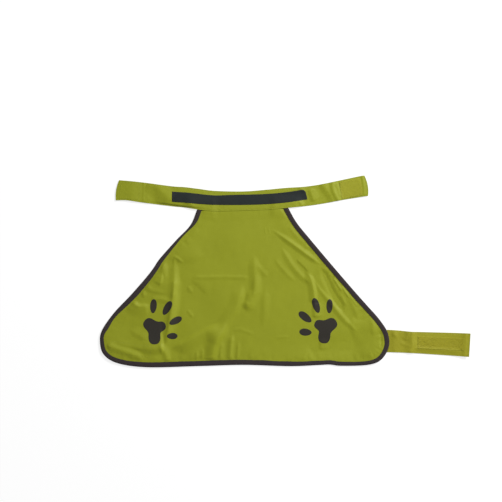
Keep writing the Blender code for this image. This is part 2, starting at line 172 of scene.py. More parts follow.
# %% The camera above the table
VIEW_WIDTH = 0.974     # how much of the table the picture spans
LENS = 85.0
SENSOR = 36.0
VIEW_MIDDLE = (0.0146, 0.0689)

lens = bpy.data.cameras.new("Camera")
lens.lens = LENS
lens.sensor_width = SENSOR
camera = bpy.data.objects.new("Camera", lens)
camera.location = (*VIEW_MIDDLE, VIEW_WIDTH * LENS / SENSOR)
bpy.context.scene.collection.objects.link(camera)
bpy.context.scene.camera = camera
print("camera height in m:", round(camera.location.z, 3))

# %% [markdown]
# ## Light
#
# Flat cloth shows its creases only where light crosses them at a slant. One softbox stands low
# on the far right, and a pale surround fills the shadows. The two together light a level
# surface with a strength of 1, so that a colour renders about as it is written. The softbox is
# only a few metres off, which makes the right side of the vest a little brighter than the left.

# %% The softbox and the fill
LIGHT_HEADING = math.radians(42.0)   # from +X towards +Y
LIGHT_HEIGHT = math.radians(33.0)    # above the table
LIGHT_DISTANCE = 3.0
LIGHT_SIZE = 0.9
FILL = 0.28

key_power = (1.0 - FILL) * math.pi**2 * LIGHT_DISTANCE**2 / math.sin(LIGHT_HEIGHT)
softbox = bpy.data.lights.new("Softbox", "AREA")
softbox.shape = "DISK"
softbox.size = LIGHT_SIZE
softbox.energy = key_power
key = bpy.data.objects.new("Softbox", softbox)
level = LIGHT_DISTANCE * math.cos(LIGHT_HEIGHT)
key.location = (
    level * math.cos(LIGHT_HEADING),
    level * math.sin(LIGHT_HEADING),
    LIGHT_DISTANCE * math.sin(LIGHT_HEIGHT),
)
key.rotation_mode = "QUATERNION"
key.rotation_quaternion = key.location.to_track_quat("Z", "Y")
bpy.context.scene.collection.objects.link(key)
print("softbox power in W:", round(key_power))


# %% [markdown]
# ## Surround and floor
#
# The surround is plain white where it is seen, directly, in a reflection or through something
# clear, and only as strong as the fill everywhere else. The floor is made the same way: where
# it is seen, it glows a little over its own paint and reads as white, while the rest of the
# scene meets an ordinary pale floor. The glow is only a share, so the vest's shadow still shows.

# %% The surround
RAYS_THAT_SEE = ("Is Camera Ray", "Is Glossy Ray", "Is Transmission Ray")


def seen(finish):
    """1 where a ray sees the surface, and 0 where the surface only scatters its light."""
    rays = [finish.add("ShaderNodeLightPath", {}, {}, output=ray) for ray in RAYS_THAT_SEE]
    return rays[0].math("MAXIMUM", rays[1]).math("MAXIMUM", rays[2])


WHITE = (1.0, 1.0, 1.0)

surround = Finish(bpy.data.worlds.new("Surround"), "Background")
surround.set(Color=WHITE, Strength=FILL + (1.0 - FILL) * seen(surround))
bpy.context.scene.world = surround.owner
bpy.context.scene.view_settings.view_transform = "Standard"

# %% The floor
FLOOR_PAINT = (0.80, 0.80, 0.80)
SEEN_PAINT = (0.25, 0.25, 0.25)
SEEN_GLOW = 0.80
FLOOR_SIZE = 9.0
FLOOR_DROP = 0.05 * MM

paint = Finish(bpy.data.materials.new("Pale floor"))
plain = paint.add("ShaderNodeBsdfDiffuse", {}, {"Color": FLOOR_PAINT})
shown = paint.add("ShaderNodeBsdfDiffuse", {}, {"Color": SEEN_PAINT})
glow = paint.add("ShaderNodeEmission", {}, {"Color": WHITE, "Strength": SEEN_GLOW})
bright = paint.add("ShaderNodeAddShader", {}, {0: shown, 1: glow})
whole = paint.add("ShaderNodeMixShader", {}, {0: seen(paint), 1: plain, 2: bright})
paint.nodes.remove(paint.shader)
paint.feed(paint.nodes["Material Output"].inputs["Surface"], whole)
bpy.ops.mesh.primitive_plane_add(size=FLOOR_SIZE, location=(0.0, 0.0, -FLOOR_DROP))
floor = bpy.context.object
floor.name = "Floor"
floor.data.materials.append(paint.owner)
print("floor:", FLOOR_SIZE, "m square")

# %% [markdown]
# ## Curves drawn through a few points
#
# A pattern maker marks a few points and joins them with a smooth curve. The same is done here
# with a Catmull-Rom curve, which passes through every marked point. The panel's outline, the
# band's edges and the run of each crease all come from it.

# %% Smooth curves and what is measured on them
CURVE_PARTS = 20


def ease(share):
    """0 below 0, 1 above 1, with a soft start and stop between."""
    held = np.clip(share, 0.0, 1.0)
    return held * held * (3.0 - 2.0 * held)


def smooth_rows(rows, parts=CURVE_PARTS):
    given = np.array(rows, float)
    padded = np.vstack([2.0 * given[0] - given[1], given, 2.0 * given[-1] - given[-2]])
    points = []
    for a, b, c, d in zip(padded, padded[1:], padded[2:], padded[3:]):
        for step in range(parts):
            t = step / parts
            bend = (2.0 * a - 5.0 * b + 4.0 * c - d) * t**2
            twist = (3.0 * b - a - 3.0 * c + d) * t**3
            points.append(0.5 * (2.0 * b + (c - a) * t + bend + twist))
    points.append(given[-1])
    return np.array(points)


def drawn(marks, parts=CURVE_PARTS):
    """A smooth curve through marks in mm."""
    return smooth_rows(np.array(marks) * MM, parts)


def run_of(points):
    """The distance of each point from the start, along the curve."""
    steps = np.linalg.norm(np.diff(points, axis=0), axis=1)
    return np.concatenate([[0.0], np.cumsum(steps)])


def evenly(points, count):
    run = run_of(points)
    wanted = np.linspace(0.0, run[-1], count)
    return np.column_stack([np.interp(wanted, run, column) for column in points.T])


def unit(vectors):
    return vectors / np.linalg.norm(vectors, axis=-1, keepdims=True)


def inward(points):
    """At each point of a curve that runs anticlockwise, the direction into its inside."""
    along = unit(np.gradient(points, axis=0))
    return np.column_stack([-along[:, 1], along[:, 0]])


def run_on(curve, distance):
    """A curve run on past both its ends."""
    before = curve[0] + unit(curve[0] - curve[2]) * distance
    after = curve[-1] + unit(curve[-1] - curve[-3]) * distance
    return np.vstack([before, curve, after])


def turned(x, y, degrees):
    angle = math.radians(degrees)
    return x * math.cos(angle) - y * math.sin(angle), x * math.sin(angle) + y * math.cos(angle)


# %% Where points lie beside a curve
def beside(x, y, curve):
    """Each point's distance to a curve, its side (+ on the left) and how far along it lies."""
    nearest = np.full(np.shape(x), np.inf)
    side = np.zeros(np.shape(x))
    along = np.zeros(np.shape(x))
    run = run_of(curve)
    for start, step, begun in zip(curve, np.diff(curve, axis=0), run):
        length = math.hypot(*step)
        share = ((x - start[0]) * step[0] + (y - start[1]) * step[1]) / length**2
        share = np.clip(share, 0.0, 1.0)
        off_x = x - start[0] - step[0] * share
        off_y = y - start[1] - step[1] * share
        away = np.hypot(off_x, off_y)
        closer = away < nearest
        nearest = np.where(closer, away, nearest)
        side = np.where(closer, step[0] * off_y - step[1] * off_x, side)
        along = np.where(closer, begun + share * length, along)
    return nearest, side, along


# %% [markdown]
# ## The cut of the vest
#
# These are the maker's marks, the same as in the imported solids: the outside of the bound edge,
# and lines across the neck band and the belly strap.

# %% Sizes of the cut
GAP = 0.3 * MM
WALL = 1.0 * MM             # one layer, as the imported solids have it
DOUBLED = 2.0 * MM
TAPE_WALL = 1.2 * MM        # hook tape and loop tape
BINDING = 9.5 * MM
SEAM = 9.5 * MM             # how far the panel runs on under the neck band
STRIP = 20.0 * MM
EDGE_ROOM = 2.2 * MM        # from the outside of the binding to the panel's raw edge
NECK_TAPE = 34.0 * MM
BELLY_TAPE = 24.0 * MM
LEFT_CORNER = 10            # the outline's marks at the two lower corners
RIGHT_CORNER = 20

OUTLINE = (
    # x and y in mm, from the left neck corner down, along the hem and up again
    (-89.9, 149.2), (-103, 119), (-130.4, 90), (-161.9, 54.5), (-173.4, 37.6),
    (-187, 19.6), (-217.9, -15.8), (-250.2, -50), (-273.7, -83.5), (-278.3, -107),
    (-270.8, -132), (-243, -149), (-185, -156.6), (-84, -154.3), (0, -152),
    (90, -154.5), (146, -152.3), (167, -151.4), (190, -153.8), (240, -152),
    (266.5, -142), (281.5, -117), (279.6, -90), (263.5, -63.8), (240, -37),
    (215.7, -9.7), (170.3, 43), (126.5, 95), (103, 124.2), (86.9, 152.2),
)
NECK_BAND = (
    # name, x and y at the upper edge, x and y at the lower edge in mm, share of the line down
    # to the middle of the reflective strip, bow of the line towards the right end in mm
    ("left end", -241.2, 206.2, -247.6, 167, 0.53, -2.6),
    ("left tip", -222, 204.6, -226, 167, 0.53, 0),
    ("left patch", -193.5, 201.6, -196.5, 162.7, 0.53, 0),
    ("strip start", -138.2, 194.3, -138.8, 155.6, 0.52, 0),
    ("left of neck", -114, 192.7, -115, 153.3, 0.51, 0),
    ("left neck corner", -87, 189.4, -88.5, 149.3, 0.48, 0),
    ("left quarter", -55, 185.5, -56, 146, 0.433, 0),
    ("back line", 0, 184.5, 0, 147.2, 0.437, 0),
    ("right quarter", 45, 187.8, 46, 148.8, 0.465, 0),
    ("right neck corner", 82, 191.3, 88, 152.5, 0.468, 0),
    ("strip end", 118.2, 193.6, 127, 156.6, 0.405, 0),
    ("right of neck", 150, 198.2, 158, 161.3, 0.46, 0),
    ("right patch", 185, 205.4, 191, 167.5, 0.50, 0),
    ("patch end", 225, 213.9, 231, 174.1, 0.50, 2),
    ("right end", 234.4, 215.2, 241.4, 175.4, 0.50, 3.2),
)
BELLY_STRAP = (
    # the same columns, down to the middle of the hook tape
    ("caught end", 257, -84.2, 257, -127.4, 0.48, 0),
    ("way out", 288, -84.3, 288, -127.7, 0.48, 0),
    ("crease", 326, -87.6, 326, -129.1, 0.48, 0),
    ("patch start", 338.5, -88, 337.5, -129.8, 0.48, 0),
    ("patch end", 429, -90.4, 426.5, -135.6, 0.48, 0),
    ("free end", 439.6, -91.2, 436.8, -136.2, 0.48, 0),
)


def oblong(x, y, length, width, tilt):
    """A turned rectangle, in mm and degrees: the place that a hidden layer takes up."""
    return {"x": x * MM, "y": y * MM, "length": length * MM, "width": width * MM, "tilt": tilt}


BELLY_MATE = oblong(-218.0, -121.5, 80.0, 23.0, -8.0)
STRAP_END = oblong(275.0, -106.0, 40.0, 46.0, 0.0)

outline = drawn(OUTLINE)
rim = run_on(outline, SEAM)         # both ends run on under the neck band
left_turn = LEFT_CORNER * CURVE_PARTS
right_turn = RIGHT_CORNER * CURVE_PARTS
print("bound edge in mm:", round(run_of(outline)[-1] / MM))

# %% [markdown]
# ## Creases
#
# A garment that was folded in a packet keeps every fold as a soft ridge or trough. Each one is
# a row of a table: how high it stands, how far it reaches on the left and on the right of the
# way it runs, how sharp its crest is, how it fades in and out, and the few points it passes.
# A steep short flank and a long gentle one are what tells a pressed fold from a ripple.

# %% The creases of the back panel
PANEL_CREASES = (
    # height, reach on the left, reach on the right, sharpness, fade in, fade out, and the
    # points of its run, all but the sharpness in mm

    # the pressed fold at the left, from the hook at its top to its tail
    (1.4, 12, 13, .25, 20, 26,
     (-134, 52), (-134, 40), (-134, 20), (-135, 0), (-138, -30), (-142, -60), (-146, -84),
     (-151, -116)),
    (.5, 4, 4, .5, 6, 14, (-135, 58), (-134, 45), (-134, 34)),
    (.8, 9, 7, .2, 12, 12, (-134, 16), (-134.5, 0), (-136, -26)),
    (1.2, 16, 8, .2, 26, 26, (-135, 2), (-138, -30), (-142, -62), (-147, -92)),
    (.7, 9, 7, .3, 12, 20, (-144, -74), (-147, -96), (-151, -116)),
    (1.0, 4, 6, .5, 4, 10, (-136, 58), (-128, 55), (-115, 45)),
    # the crumple between it and the left binding
    (1.9, 12, 14, .2, 8, 22, (-161, 56), (-157, 38), (-150, 14)),
    (1.5, 5, 17, .3, 12, 8, (-158, 30), (-159, 16), (-163, 0)),
    (.8, 7, 13, .2, 5, 8, (-191, 2), (-184, -2), (-176, -5)),
    (.6, 9, 6, .2, 8, 20, (-186, -6), (-168, -10), (-146, -12)),
    (1.0, 8, 10, .2, 8, 8, (-181, -27), (-168, -24), (-152, -26), (-139, -32)),
    (2.1, 8, 24, .3, 8, 12, (-216, -28), (-208, -37), (-195, -39), (-181, -36)),
    (.5, 7, 6, .3, 3, 4, (-211, -30), (-206, -36), (-200, -38)),
    (1.1, 8, 7, .4, 6, 8, (-194, -6), (-193, -24)),
    # the left corner
    (1.1, 16, 10, .1, 14, 14, (-222, -84), (-203, -93), (-184, -103)),
    (1.9, 12, 11, .2, 10, 20, (-268, -112), (-240, -122), (-215, -131), (-190, -143)),
    (.8, 14, 5, .4, 14, 14, (-252, -108), (-235, -112), (-212, -118), (-192, -124)),
    (2.8, 60, 15, .2, 40, 6, (-222, -112), (-200, -117), (-178, -120), (-153, -119)),
    (1.4, 12, 9, .3, 12, 3, (-165, -108), (-158, -120), (-151, -131), (-149, -148)),
    (2.2, 18, 84, .1, 40, 40, (-134, 40), (-137, -20), (-142, -66), (-150, -118)),
    # along the hem, left of the middle
    (2.8, 22, 9, .3, 34, 24, (-44, -70), (-70, -85), (-92, -97), (-114, -109), (-142, -121)),
    (1.4, 20, 20, .1, 14, 22, (-72, -81), (-57, -94), (-48, -116)),
    (1.3, 40, 34, .1, 14, 12, (-118, -106), (-104, -118), (-94, -148)),
    (.7, 4, 5, .4, 5, 2, (-90, -124), (-91, -144)),
    (.7, 4, 5, .4, 5, 2, (-79, -120), (-80, -144)),
    # the plain part left of the middle, with a fold pressed across it
    (.7, 7, 7, .4, 6, 6, (-109, 2), (-99, -13)),
    (.5, 24, 8, .2, 10, 14, (-103, 16), (-88, 6), (-66, -16)),
    (.6, 6, 5, .4, 6, 6, (-110, -44), (-97, -61)),
    (.6, 6, 7, .4, 20, 10, (-104, 17.5), (-40, 18.5), (12, 17.5)),
    (-.7, 5, 6, .4, 8, 20, (-84, 142), (-62, 139), (-36, 138)),
    (1.0, 34, 18, .1, 34, 34, (-166, 68), (-120, 58), (-70, 62)),
    # the long slant, its knuckle and the fall beside it
    (2.2, 13, 20, .1, 30, 8,
     (-1, 8), (-6, -12), (-15, -40), (-26, -58), (-37, -76), (-49, -97), (-57, -117), (-63, -148)),
    (.7, 8, 13, .1, 7, 7, (-6, -31), (3, -33), (13, -37)),
    (2.9, 20, 28, .1, 30, 44, (-32, -66), (-41, -83), (-50, -99), (-58, -117), (-66, -148)),
    # pleats at the hem
    (1.8, 8, 10, .35, 14, 3, (-20, -92), (-24, -110), (-26, -146)),
    (.9, 9, 5, .4, 10, 3, (-41, -106), (-44, -124), (-46, -146)),
    (.7, 7, 4, .4, 12, 3, (-10, -104), (-11, -122), (-13, -146)),
    # the pressed fold in the middle, and faint waves near it
    (1.6, 15, 14, .2, 24, 12, (21, 62), (21, 30), (21.5, 0), (19, -15), (12, -32), (6, -50)),
    (.9, 16, 10, .1, 18, 12, (25, 26), (24, 2), (20, -22)),
    (.9, 22, 9, .1, 12, 14, (14, -4), (10, -22), (3, -44)),
    (.6, 9, 8, .3, 10, 10, (27, 44), (36, 30), (49, 18)),
    (.7, 13, 10, .1, 18, 22, (44, -4), (41, -30), (40, -54), (37, -80)),
    (.4, 6, 6, .3, 10, 10, (-24, -86), (-4, -84), (22, -94)),
    (.35, 5, 5, .5, 10, 10, (58, -99), (92, -97)),
    (.2, 3, 2, .4, 5, 5, (41, 117), (43, 98)),
    (.2, 3, 2, .4, 5, 5, (48, 115), (51, 100)),
    # the raised folds at the right, from the neck down
    (1.6, 8, 9, .4, 40, 26,
     (52, 112), (72, 99), (87, 88.5), (100, 79), (115, 68), (130, 57), (152, 41)),
    (.4, 8, 7, .2, 12, 12, (88, 118), (100, 101), (113, 88), (130, 74)),
    (1.0, 9, 10, .3, 24, 10, (72, 78), (85, 56), (97, 38), (111, 22), (129, 7)),
    (2.2, 8, 13, .2, 20, 10, (120, 34), (130, 15), (136, -8), (138, -36)),
    (1.5, 18, 8, .3, 6, 6, (138, -30), (139, -44), (139, -62)),
    (.6, 8, 8, .4, 14, 12, (60, 54), (80, 30), (100, 10)),
    (.9, 18, 5, .4, 8, 10, (102, 54), (118, 39), (136, 20)),
    (1.3, 8, 9.5, .2, 80, 34,
     (130, 24), (138, 11), (147, -4), (159, -19), (172, -34), (186, -52), (201, -69), (224, -90)),
    # the hollow and the puckers by the right binding
    (-1.7, 10, 12, .3, 20, 22, (148, 38), (157, 23), (166, 3), (176, -17), (187, -36), (196, -52)),
    (.5, 5, 5, .4, 6, 6, (188, -14), (194, -26), (200, -38)),
    (.6, 9, 8, .2, 12, 14, (206, -22), (213, -38), (219, -52), (224, -68)),
    (.8, 4, 5, .4, 5, 6, (174, 18), (183, 4), (192, -10)),
    (.8, 4, 4, .4, 5, 6, (190, 2), (199, -12), (206, -24)),
    (.6, 4, 4, .4, 5, 6, (205, -14), (214, -28), (222, -40)),
    # the right corner
    (1.3, 28, 12, .2, 14, 22, (213, -58), (214, -78), (216, -102)),
    (.8, 10, 9, .3, 10, 12, (250, -52), (251, -72), (252, -98)),
    (-.9, 3, 4, .4, 4, 4, (267, -86), (267, -104), (267, -121)),
    (1.1, 22, 8, .2, 8, 8, (150, -100), (151, -112), (151, -126)),
    (-1.2, 34, 25, .1, 22, 30, (116, -120), (150, -121), (190, -119), (236, -114)),
)
print("creases in the panel:", len(PANEL_CREASES))

# %% The creases of the two strips
STRIP_CREASES = (
    # the same columns

    # the neck band's left end and its twist
    (1.1, 22, 28, .1, 3, 3, (-214, 212), (-215, 186), (-217, 160)),
    (.4, 4, 3, .3, 4, 4, (-193, 205), (-193.5, 182), (-194.5, 162)),
    (2.1, 22, 24, .2, 4, 4, (-181, 206), (-168, 193), (-155, 180), (-141, 165)),
    # beside both ends of the reflective strip
    (.5, 6, 5, .3, 6, 6, (-118, 164), (-104, 161), (-92, 152)),
    (.6, 6, 6, .3, 3, 3, (106, 194), (113, 188), (120, 183)),
    (1.0, 9, 6, .3, 5, 5, (106, 168), (111, 162), (116, 154)),
    (1.3, 16, 8, .2, 6, 6, (130, 192), (132, 179), (138, 163)),
    (2.4, 70, 60, .1, 3, 3, (-126, 204), (-128, 180), (-131, 156)),
    # the neck band's right end
    (1.6, 10, 42, .1, 3, 3, (247, 224), (245, 196), (242, 168)),
    (1.7, 18, 13, .2, 4, 4, (152, 202), (160, 189), (169, 177), (175, 162)),
    (1.9, 13, 8, .25, 3, 3, (171, 206), (174, 190), (178, 179), (186, 164)),
    (.7, 6, 5, .3, 5, 5, (180, 203), (184, 188), (190, 172)),
    (.7, 4, 5, .5, 4, 4, (230, 216), (233, 196), (234, 176)),
    # the belly strap
    (.9, 9, 7, .2, 7, 7, (284, -88), (292, -93), (300, -99)),
    (.9, 6, 14, .3, 6, 6, (320, -84), (317, -96), (312, -106)),
    (.45, 6, 6, .2, 6, 6, (302, -107), (312, -112), (324, -116)),
    (.7, 24, 9, .1, 3, 6, (289, -84), (290, -110), (292, -136)),
    (2.4, 14, 16, .4, 2, 2, (326, -80), (326.5, -104), (327, -114), (320, -138)),
    (.8, 6, 7, .3, 8, 20, (330, -119), (360, -121), (426, -126)),
    (5.0, 10, 52, .9, 3, 3, (443, -80), (441, -110), (439, -140)),
    (.7, 5, 9, .3, 3, 3, (430.5, -86), (430, -108), (428, -140)),
)

# %% The height that a table of creases adds at each point
CREASE_PARTS = 8            # how finely the run of a crease is drawn
TIP_WIDTH = 0.4             # how wide a crease is at its tips, as a share of its reach


def creases_at(x, y, table):
    height = np.zeros(np.shape(x))
    for high, left, right, sharp, fade_in, fade_out, *route in table:
        curve = drawn(route, CREASE_PARTS)
        reach = max(left, right) * MM
        low, top = curve.min(axis=0) - reach, curve.max(axis=0) + reach
        near = (x > low[0]) & (x < top[0]) & (y > low[1]) & (y < top[1])
        if not near.any():
            continue
        away, side, along = beside(x[near], y[near], curve)
        left_over = run_of(curve)[-1] - along
        strength = ease(along / (fade_in * MM)) * ease(left_over / (fade_out * MM))
        width = np.where(side > 0.0, left, right) * MM * (TIP_WIDTH + (1.0 - TIP_WIDTH) * strength)
        share = np.clip(away / width, 0.0, 1.0)
        profile = (1.0 - share) ** 2 * (1.0 + 2.0 * (1.0 - sharp) * share)
        height[near] += high * MM * profile * strength
    return height


# %% Small unevenness, with a fixed seed for each use
WAVES = 10
SHORTEST_WAVE = 0.65        # as a share of the given length


def ripples(x, y, size, seed):
    """An uneven surface of about unit height whose waves are about a given length."""
    draw = np.random.default_rng(seed)
    total = np.zeros(np.shape(x))
    for heading, stretch, start in draw.random((WAVES, 3)):
        angle = 2.0 * math.pi * heading
        length = size * (SHORTEST_WAVE + stretch)
        total += np.sin(2.0 * math.pi * ((x * math.cos(angle) + y * math.sin(angle)) / length + start))
    return total / math.sqrt(WAVES)


def uneven(x, y, table):
    """Ripples added up. Each row of the table gives their height and length in mm, and a seed."""
    return sum(high * MM * ripples(x, y, size * MM, seed) for high, size, seed in table)


# %% [markdown]
# ## How high each piece lies
#
# Where pieces overlap, the upper one is lifted by the lower. The heights follow the packed
# solids: the panel's edge lies on the binding's lower leg, on the strap's end and on the loop
# tape, and the neck band lies over the panel's top edge. The creases come on top of that, and
# the seam draws the panel's top up to the band.

# %% The height of the panel
RIM_PLATEAU = 18.0 * MM
RIM_FADE = 28.0 * MM
STRAP_FADE = 44.0 * MM
MATE_FADE = 42.0 * MM
BODY_LIFT = 0.8 * MM        # how far the loose middle of the panel stands off the table
FREE_FROM = 9.0 * MM        # creases begin this far in from the edge
FREE_FADE = 7.0 * MM
CLOTH = 0.5 * MM            # the finished cloth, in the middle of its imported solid
CLOTH_RISE = 0.25 * MM
SEAM_RISE = 0.3 * MM        # the panel swells up against the thin edge of the neck band,
SEAM_DIP = 5.0 * MM         # dips under it
SEAM_PULL = 22.0 * MM       # and eases down to its own level below it
PANEL_RIPPLES = ((0.30, 95.0, 3), (0.05, 17.0, 4))
PUCKERS = ((1.0, 17.0, 21), (0.5, 9.0, 22))
PUCKER_REACH = 20.0 * MM
PUCKER_SHARE = 0.22         # how strong the puckers are on the left,
PUCKER_MORE = 0.20          # how much stronger they are on the right,
PUCKER_FROM = 100.0 * MM    # and where and over what way they grow
PUCKER_OVER = 60.0 * MM


def raised(surface, by):
    """A surface that lies evenly over another."""
    return lambda x, y: surface(x, y) + by


def laid_on(surface, spots):
    return np.column_stack([spots, surface(*spots.T)])


def beyond(x, y, place):
    """How far a point lies outside a turned rectangle, and 0 inside it."""
    along, across = turned(x - place["x"], y - place["y"], -place["tilt"])
    past_tip = np.maximum(np.abs(along) - place["length"] / 2, 0.0)
    past_side = np.maximum(np.abs(across) - place["width"] / 2, 0.0)
    return np.hypot(past_tip, past_side)


def underlay(x, y):
    over_strap = (DOUBLED + GAP) * (1.0 - ease(beyond(x, y, STRAP_END) / STRAP_FADE))
    over_tape = (TAPE_WALL + GAP) * (1.0 - ease(beyond(x, y, BELLY_MATE) / MATE_FADE))
    return np.maximum(over_strap, over_tape)


def puckers(from_edge, along, x):
    """Short ripples where the binding's stitches draw the cloth in."""
    pulled = 1.0 - ease((from_edge - FREE_FROM) / PUCKER_REACH)
    strength = PUCKER_SHARE + PUCKER_MORE * ease((x - PUCKER_FROM) / PUCKER_OVER)
    return pulled * strength * uneven(along, 0.0 * along, PUCKERS)


def drawn_up(x, y, height, free):
    """Brings the top of the panel up to the band that is sewn over it, clear of the binding."""
    seam = np.interp(x, *drawn([row[3:5] for row in NECK_BAND]).T)
    below_band = band_under(x, np.maximum(y, seam)) - CLOTH_RISE - CLOTH
    under_edge = SEAM_RISE * (1.0 - ease((y - seam) / SEAM_DIP))
    share = free * (1.0 - ease((seam - y) / SEAM_PULL))
    return height + share * (below_band + under_edge - height)


def panel_under(x, y):
    """The underside of the panel."""
    from_edge, _, along = beside(x, y, rim)
    over_leg = (WALL + GAP) * (1.0 - ease((from_edge - RIM_PLATEAU) / RIM_FADE))
    free = ease((from_edge - FREE_FROM) / FREE_FADE)
    body = BODY_LIFT * ease((from_edge - RIM_PLATEAU) / RIM_FADE)
    loose = body + creases_at(x, y, PANEL_CREASES) + uneven(x, y, PANEL_RIPPLES)
    height = underlay(x, y) + over_leg + free * (loose + puckers(from_edge, along, x))
    return np.maximum(drawn_up(x, y, height, free), 0.0)


panel_top = raised(panel_under, CLOTH_RISE + CLOTH)

# %% The heights of the band and the strap
SEAM_FADE = 20.0 * MM
RISE_FADE = 14.0 * MM
PANEL_RISE = 48.0 * MM
PANEL_SIDE = 100.0 * MM
PANEL_TOP = 161.5 * MM
LOOP_SIDE = 190.0 * MM
UNDER_THREAD = 0.25 * MM    # room for the stitches under a strip that lies on the table
STRAP_OUT = 283.0 * MM      # where the strap comes free of the seam that catches it
STRAP_EASE = 12.0 * MM
STRAP_LOOSE = 0.3 * MM
STRIP_RIPPLES = ((0.12, 42.0, 5), (0.04, 11.0, 6))


def strip_creases(x, y):
    return creases_at(x, y, STRIP_CREASES) + uneven(x, y, STRIP_RIPPLES)


def band_under(x, y):
    """The underside of the neck band."""
    sideways = np.abs(x)
    layers = 1.0 + ease((sideways - PANEL_RISE) / RISE_FADE)
    beside_panel = 1.0 - ease((sideways - PANEL_SIDE) / SEAM_FADE)
    below_top = 1.0 - ease((y - PANEL_TOP) / SEAM_FADE)
    over_panel = (WALL + GAP) * layers * beside_panel * below_top
    over_tape = (TAPE_WALL + GAP) * (1.0 - ease((x + LOOP_SIDE) / SEAM_FADE))
    return np.maximum(over_panel + over_tape + strip_creases(x, y), 0.0) + UNDER_THREAD


def strap_under(x, y):
    """The underside of the belly strap."""
    lifted = ease((x - STRAP_OUT) / STRAP_EASE) * (strip_creases(x, y) + STRAP_LOOSE)
    return np.maximum(lifted, 0.0) + UNDER_THREAD


# %% [markdown]
# ## From points to pieces
#
# Two ways of making a mesh are enough. A shell is two nets of points, one over the other,
# closed round their rims. A sweep is a ring of points carried through many sections. Both also
# write down, for every point, where it lay on the flat cloth before it was sewn. The finishes
# read that, so that threads and ribs run with the piece, whichever way it turns.

# %% Turn points and faces into a piece
SHARP = math.radians(50.0)


def piece(name, points, faces, cut, finish, slot):
    mesh = bpy.data.meshes.new(name)
    mesh.from_pydata(points.tolist(), [], faces)
    flat = mesh.attributes.new("cut", "FLOAT_VECTOR", "POINT")
    flat.data.foreach_set("vector", np.asarray(cut, np.float32).ravel())
    mesh.materials.append(finish.owner)
    mesh.shade_smooth()
    mesh.set_sharp_from_angle(angle=SHARP)
    thing = bpy.data.objects.new(name, mesh)
    bpy.context.scene.collection.objects.link(thing)
    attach(thing, "root")
    mesh.calc_loop_triangles()
    print(name + ":", len(mesh.loop_triangles), "triangles")
    return thing


# %% A shell between two nets
def net_faces(numbers, up):
    """Quads of a net of point numbers, facing up or down."""
    a, b, c, d = numbers[:-1, :-1], numbers[1:, :-1], numbers[1:, 1:], numbers[:-1, 1:]
    order = (a, b, c, d) if up else (a, d, c, b)
    return np.stack(order, axis=-1).reshape(-1, 4).tolist()


def border(numbers):
    """The point numbers round a net, anticlockwise where columns run to +X and rows to +Y."""
    sides = (numbers[:-1, 0], numbers[-1, :-1], numbers[:0:-1, -1], numbers[0, :0:-1])
    return np.concatenate(sides)


def shell(top, under, every=1):
    """Points and faces of a closed shell. The net under it may have only every second point."""
    upper = np.arange(top[..., 0].size).reshape(top.shape[:2])
    lower = np.arange(under[..., 0].size).reshape(under.shape[:2]) + upper.size
    faces = net_faces(upper, True) + net_faces(lower, False)
    over, below = border(upper), border(lower)
    for step in range(len(below)):
        following = (step + 1) % len(below)
        upper_run = [over[(step * every + part) % len(over)] for part in range(every, -1, -1)]
        faces.append([int(below[step]), int(below[following]), *map(int, upper_run)])
    return np.vstack([top.reshape(-1, 3), under.reshape(-1, 3)]), faces


# %% Rings carried through sections
def sweep(rings):
    """Points and faces of closed rings carried along, for each of some bodies, ends filled."""
    numbers = np.arange(rings[..., 0].size).reshape(rings.shape[:3])
    here, there = numbers[:, :-1], numbers[:, 1:]
    quads = np.stack([here, there, np.roll(there, -1, axis=2), np.roll(here, -1, axis=2)], axis=-1)
    caps = np.vstack([numbers[:, 0], numbers[:, -1, ::-1]])
    return rings.reshape(-1, 3), quads.reshape(-1, 4).tolist() + caps.tolist()


# %% [markdown]
# ## Lime cloth
#
# The cloth is a close plain weave: every thread goes over one and under the next. Two rows of
# rounded crowns, one each way, and a checkerboard that says which is on top give its height.
# The dye takes a little unevenly, in faint streaks along the threads and in broad clouds, and
# the colour is painted darker where the threads dip, as painted shade. The cloth has only a
# faint sheen, so its highlights stay soft and keep their colour.

# %% Reading the flat place, and the crown of a thread
def new_finish(name):
    """A new material's nodes, and where each point lay on the flat cloth: along and across."""
    finish = Finish(bpy.data.materials.new(name))
    return finish, finish.add("ShaderNodeAttribute", {"attribute_name": "cut"}, {}, output=1)


def part_of(finish, place, axis):
    return finish.add("ShaderNodeSeparateXYZ", {}, {0: place}, output=axis)


def crown(turns):
    """The rounded top of each thread, one to a turn."""
    return (turns * math.pi).math("SINE").math("ABSOLUTE")


SLUB = 0.7 * MM             # the width of a thicker stretch of thread
SLUB_STRETCH = 0.03         # its width as a share of its length


def drawn_out(finish, place, stretch, size):
    """Noise whose patches are drawn out along one direction of the cloth."""
    settings = {"operation": "MULTIPLY"}
    return finish.noise(finish.add("ShaderNodeVectorMath", settings, {0: place, 1: stretch}), size)


# %% A plain weave
THREAD_LEVEL = 0.55
THREAD_CROSSING = 0.45      # how far a thread rises or dips where it crosses another


def plain_weave(finish, place, pitch):
    across = part_of(finish, place, "X") / pitch
    along = part_of(finish, place, "Y") / pitch
    checks = ((across.math("FLOOR") + along.math("FLOOR")) * 0.5).math("FRACT") * 4.0 - 1.0
    warp, weft = crown(across), crown(along)
    warp_height = warp * (THREAD_LEVEL + THREAD_CROSSING * checks * weft)
    weft_height = weft * (THREAD_LEVEL - THREAD_CROSSING * checks * warp)
    return warp_height.math("MAXIMUM", weft_height)


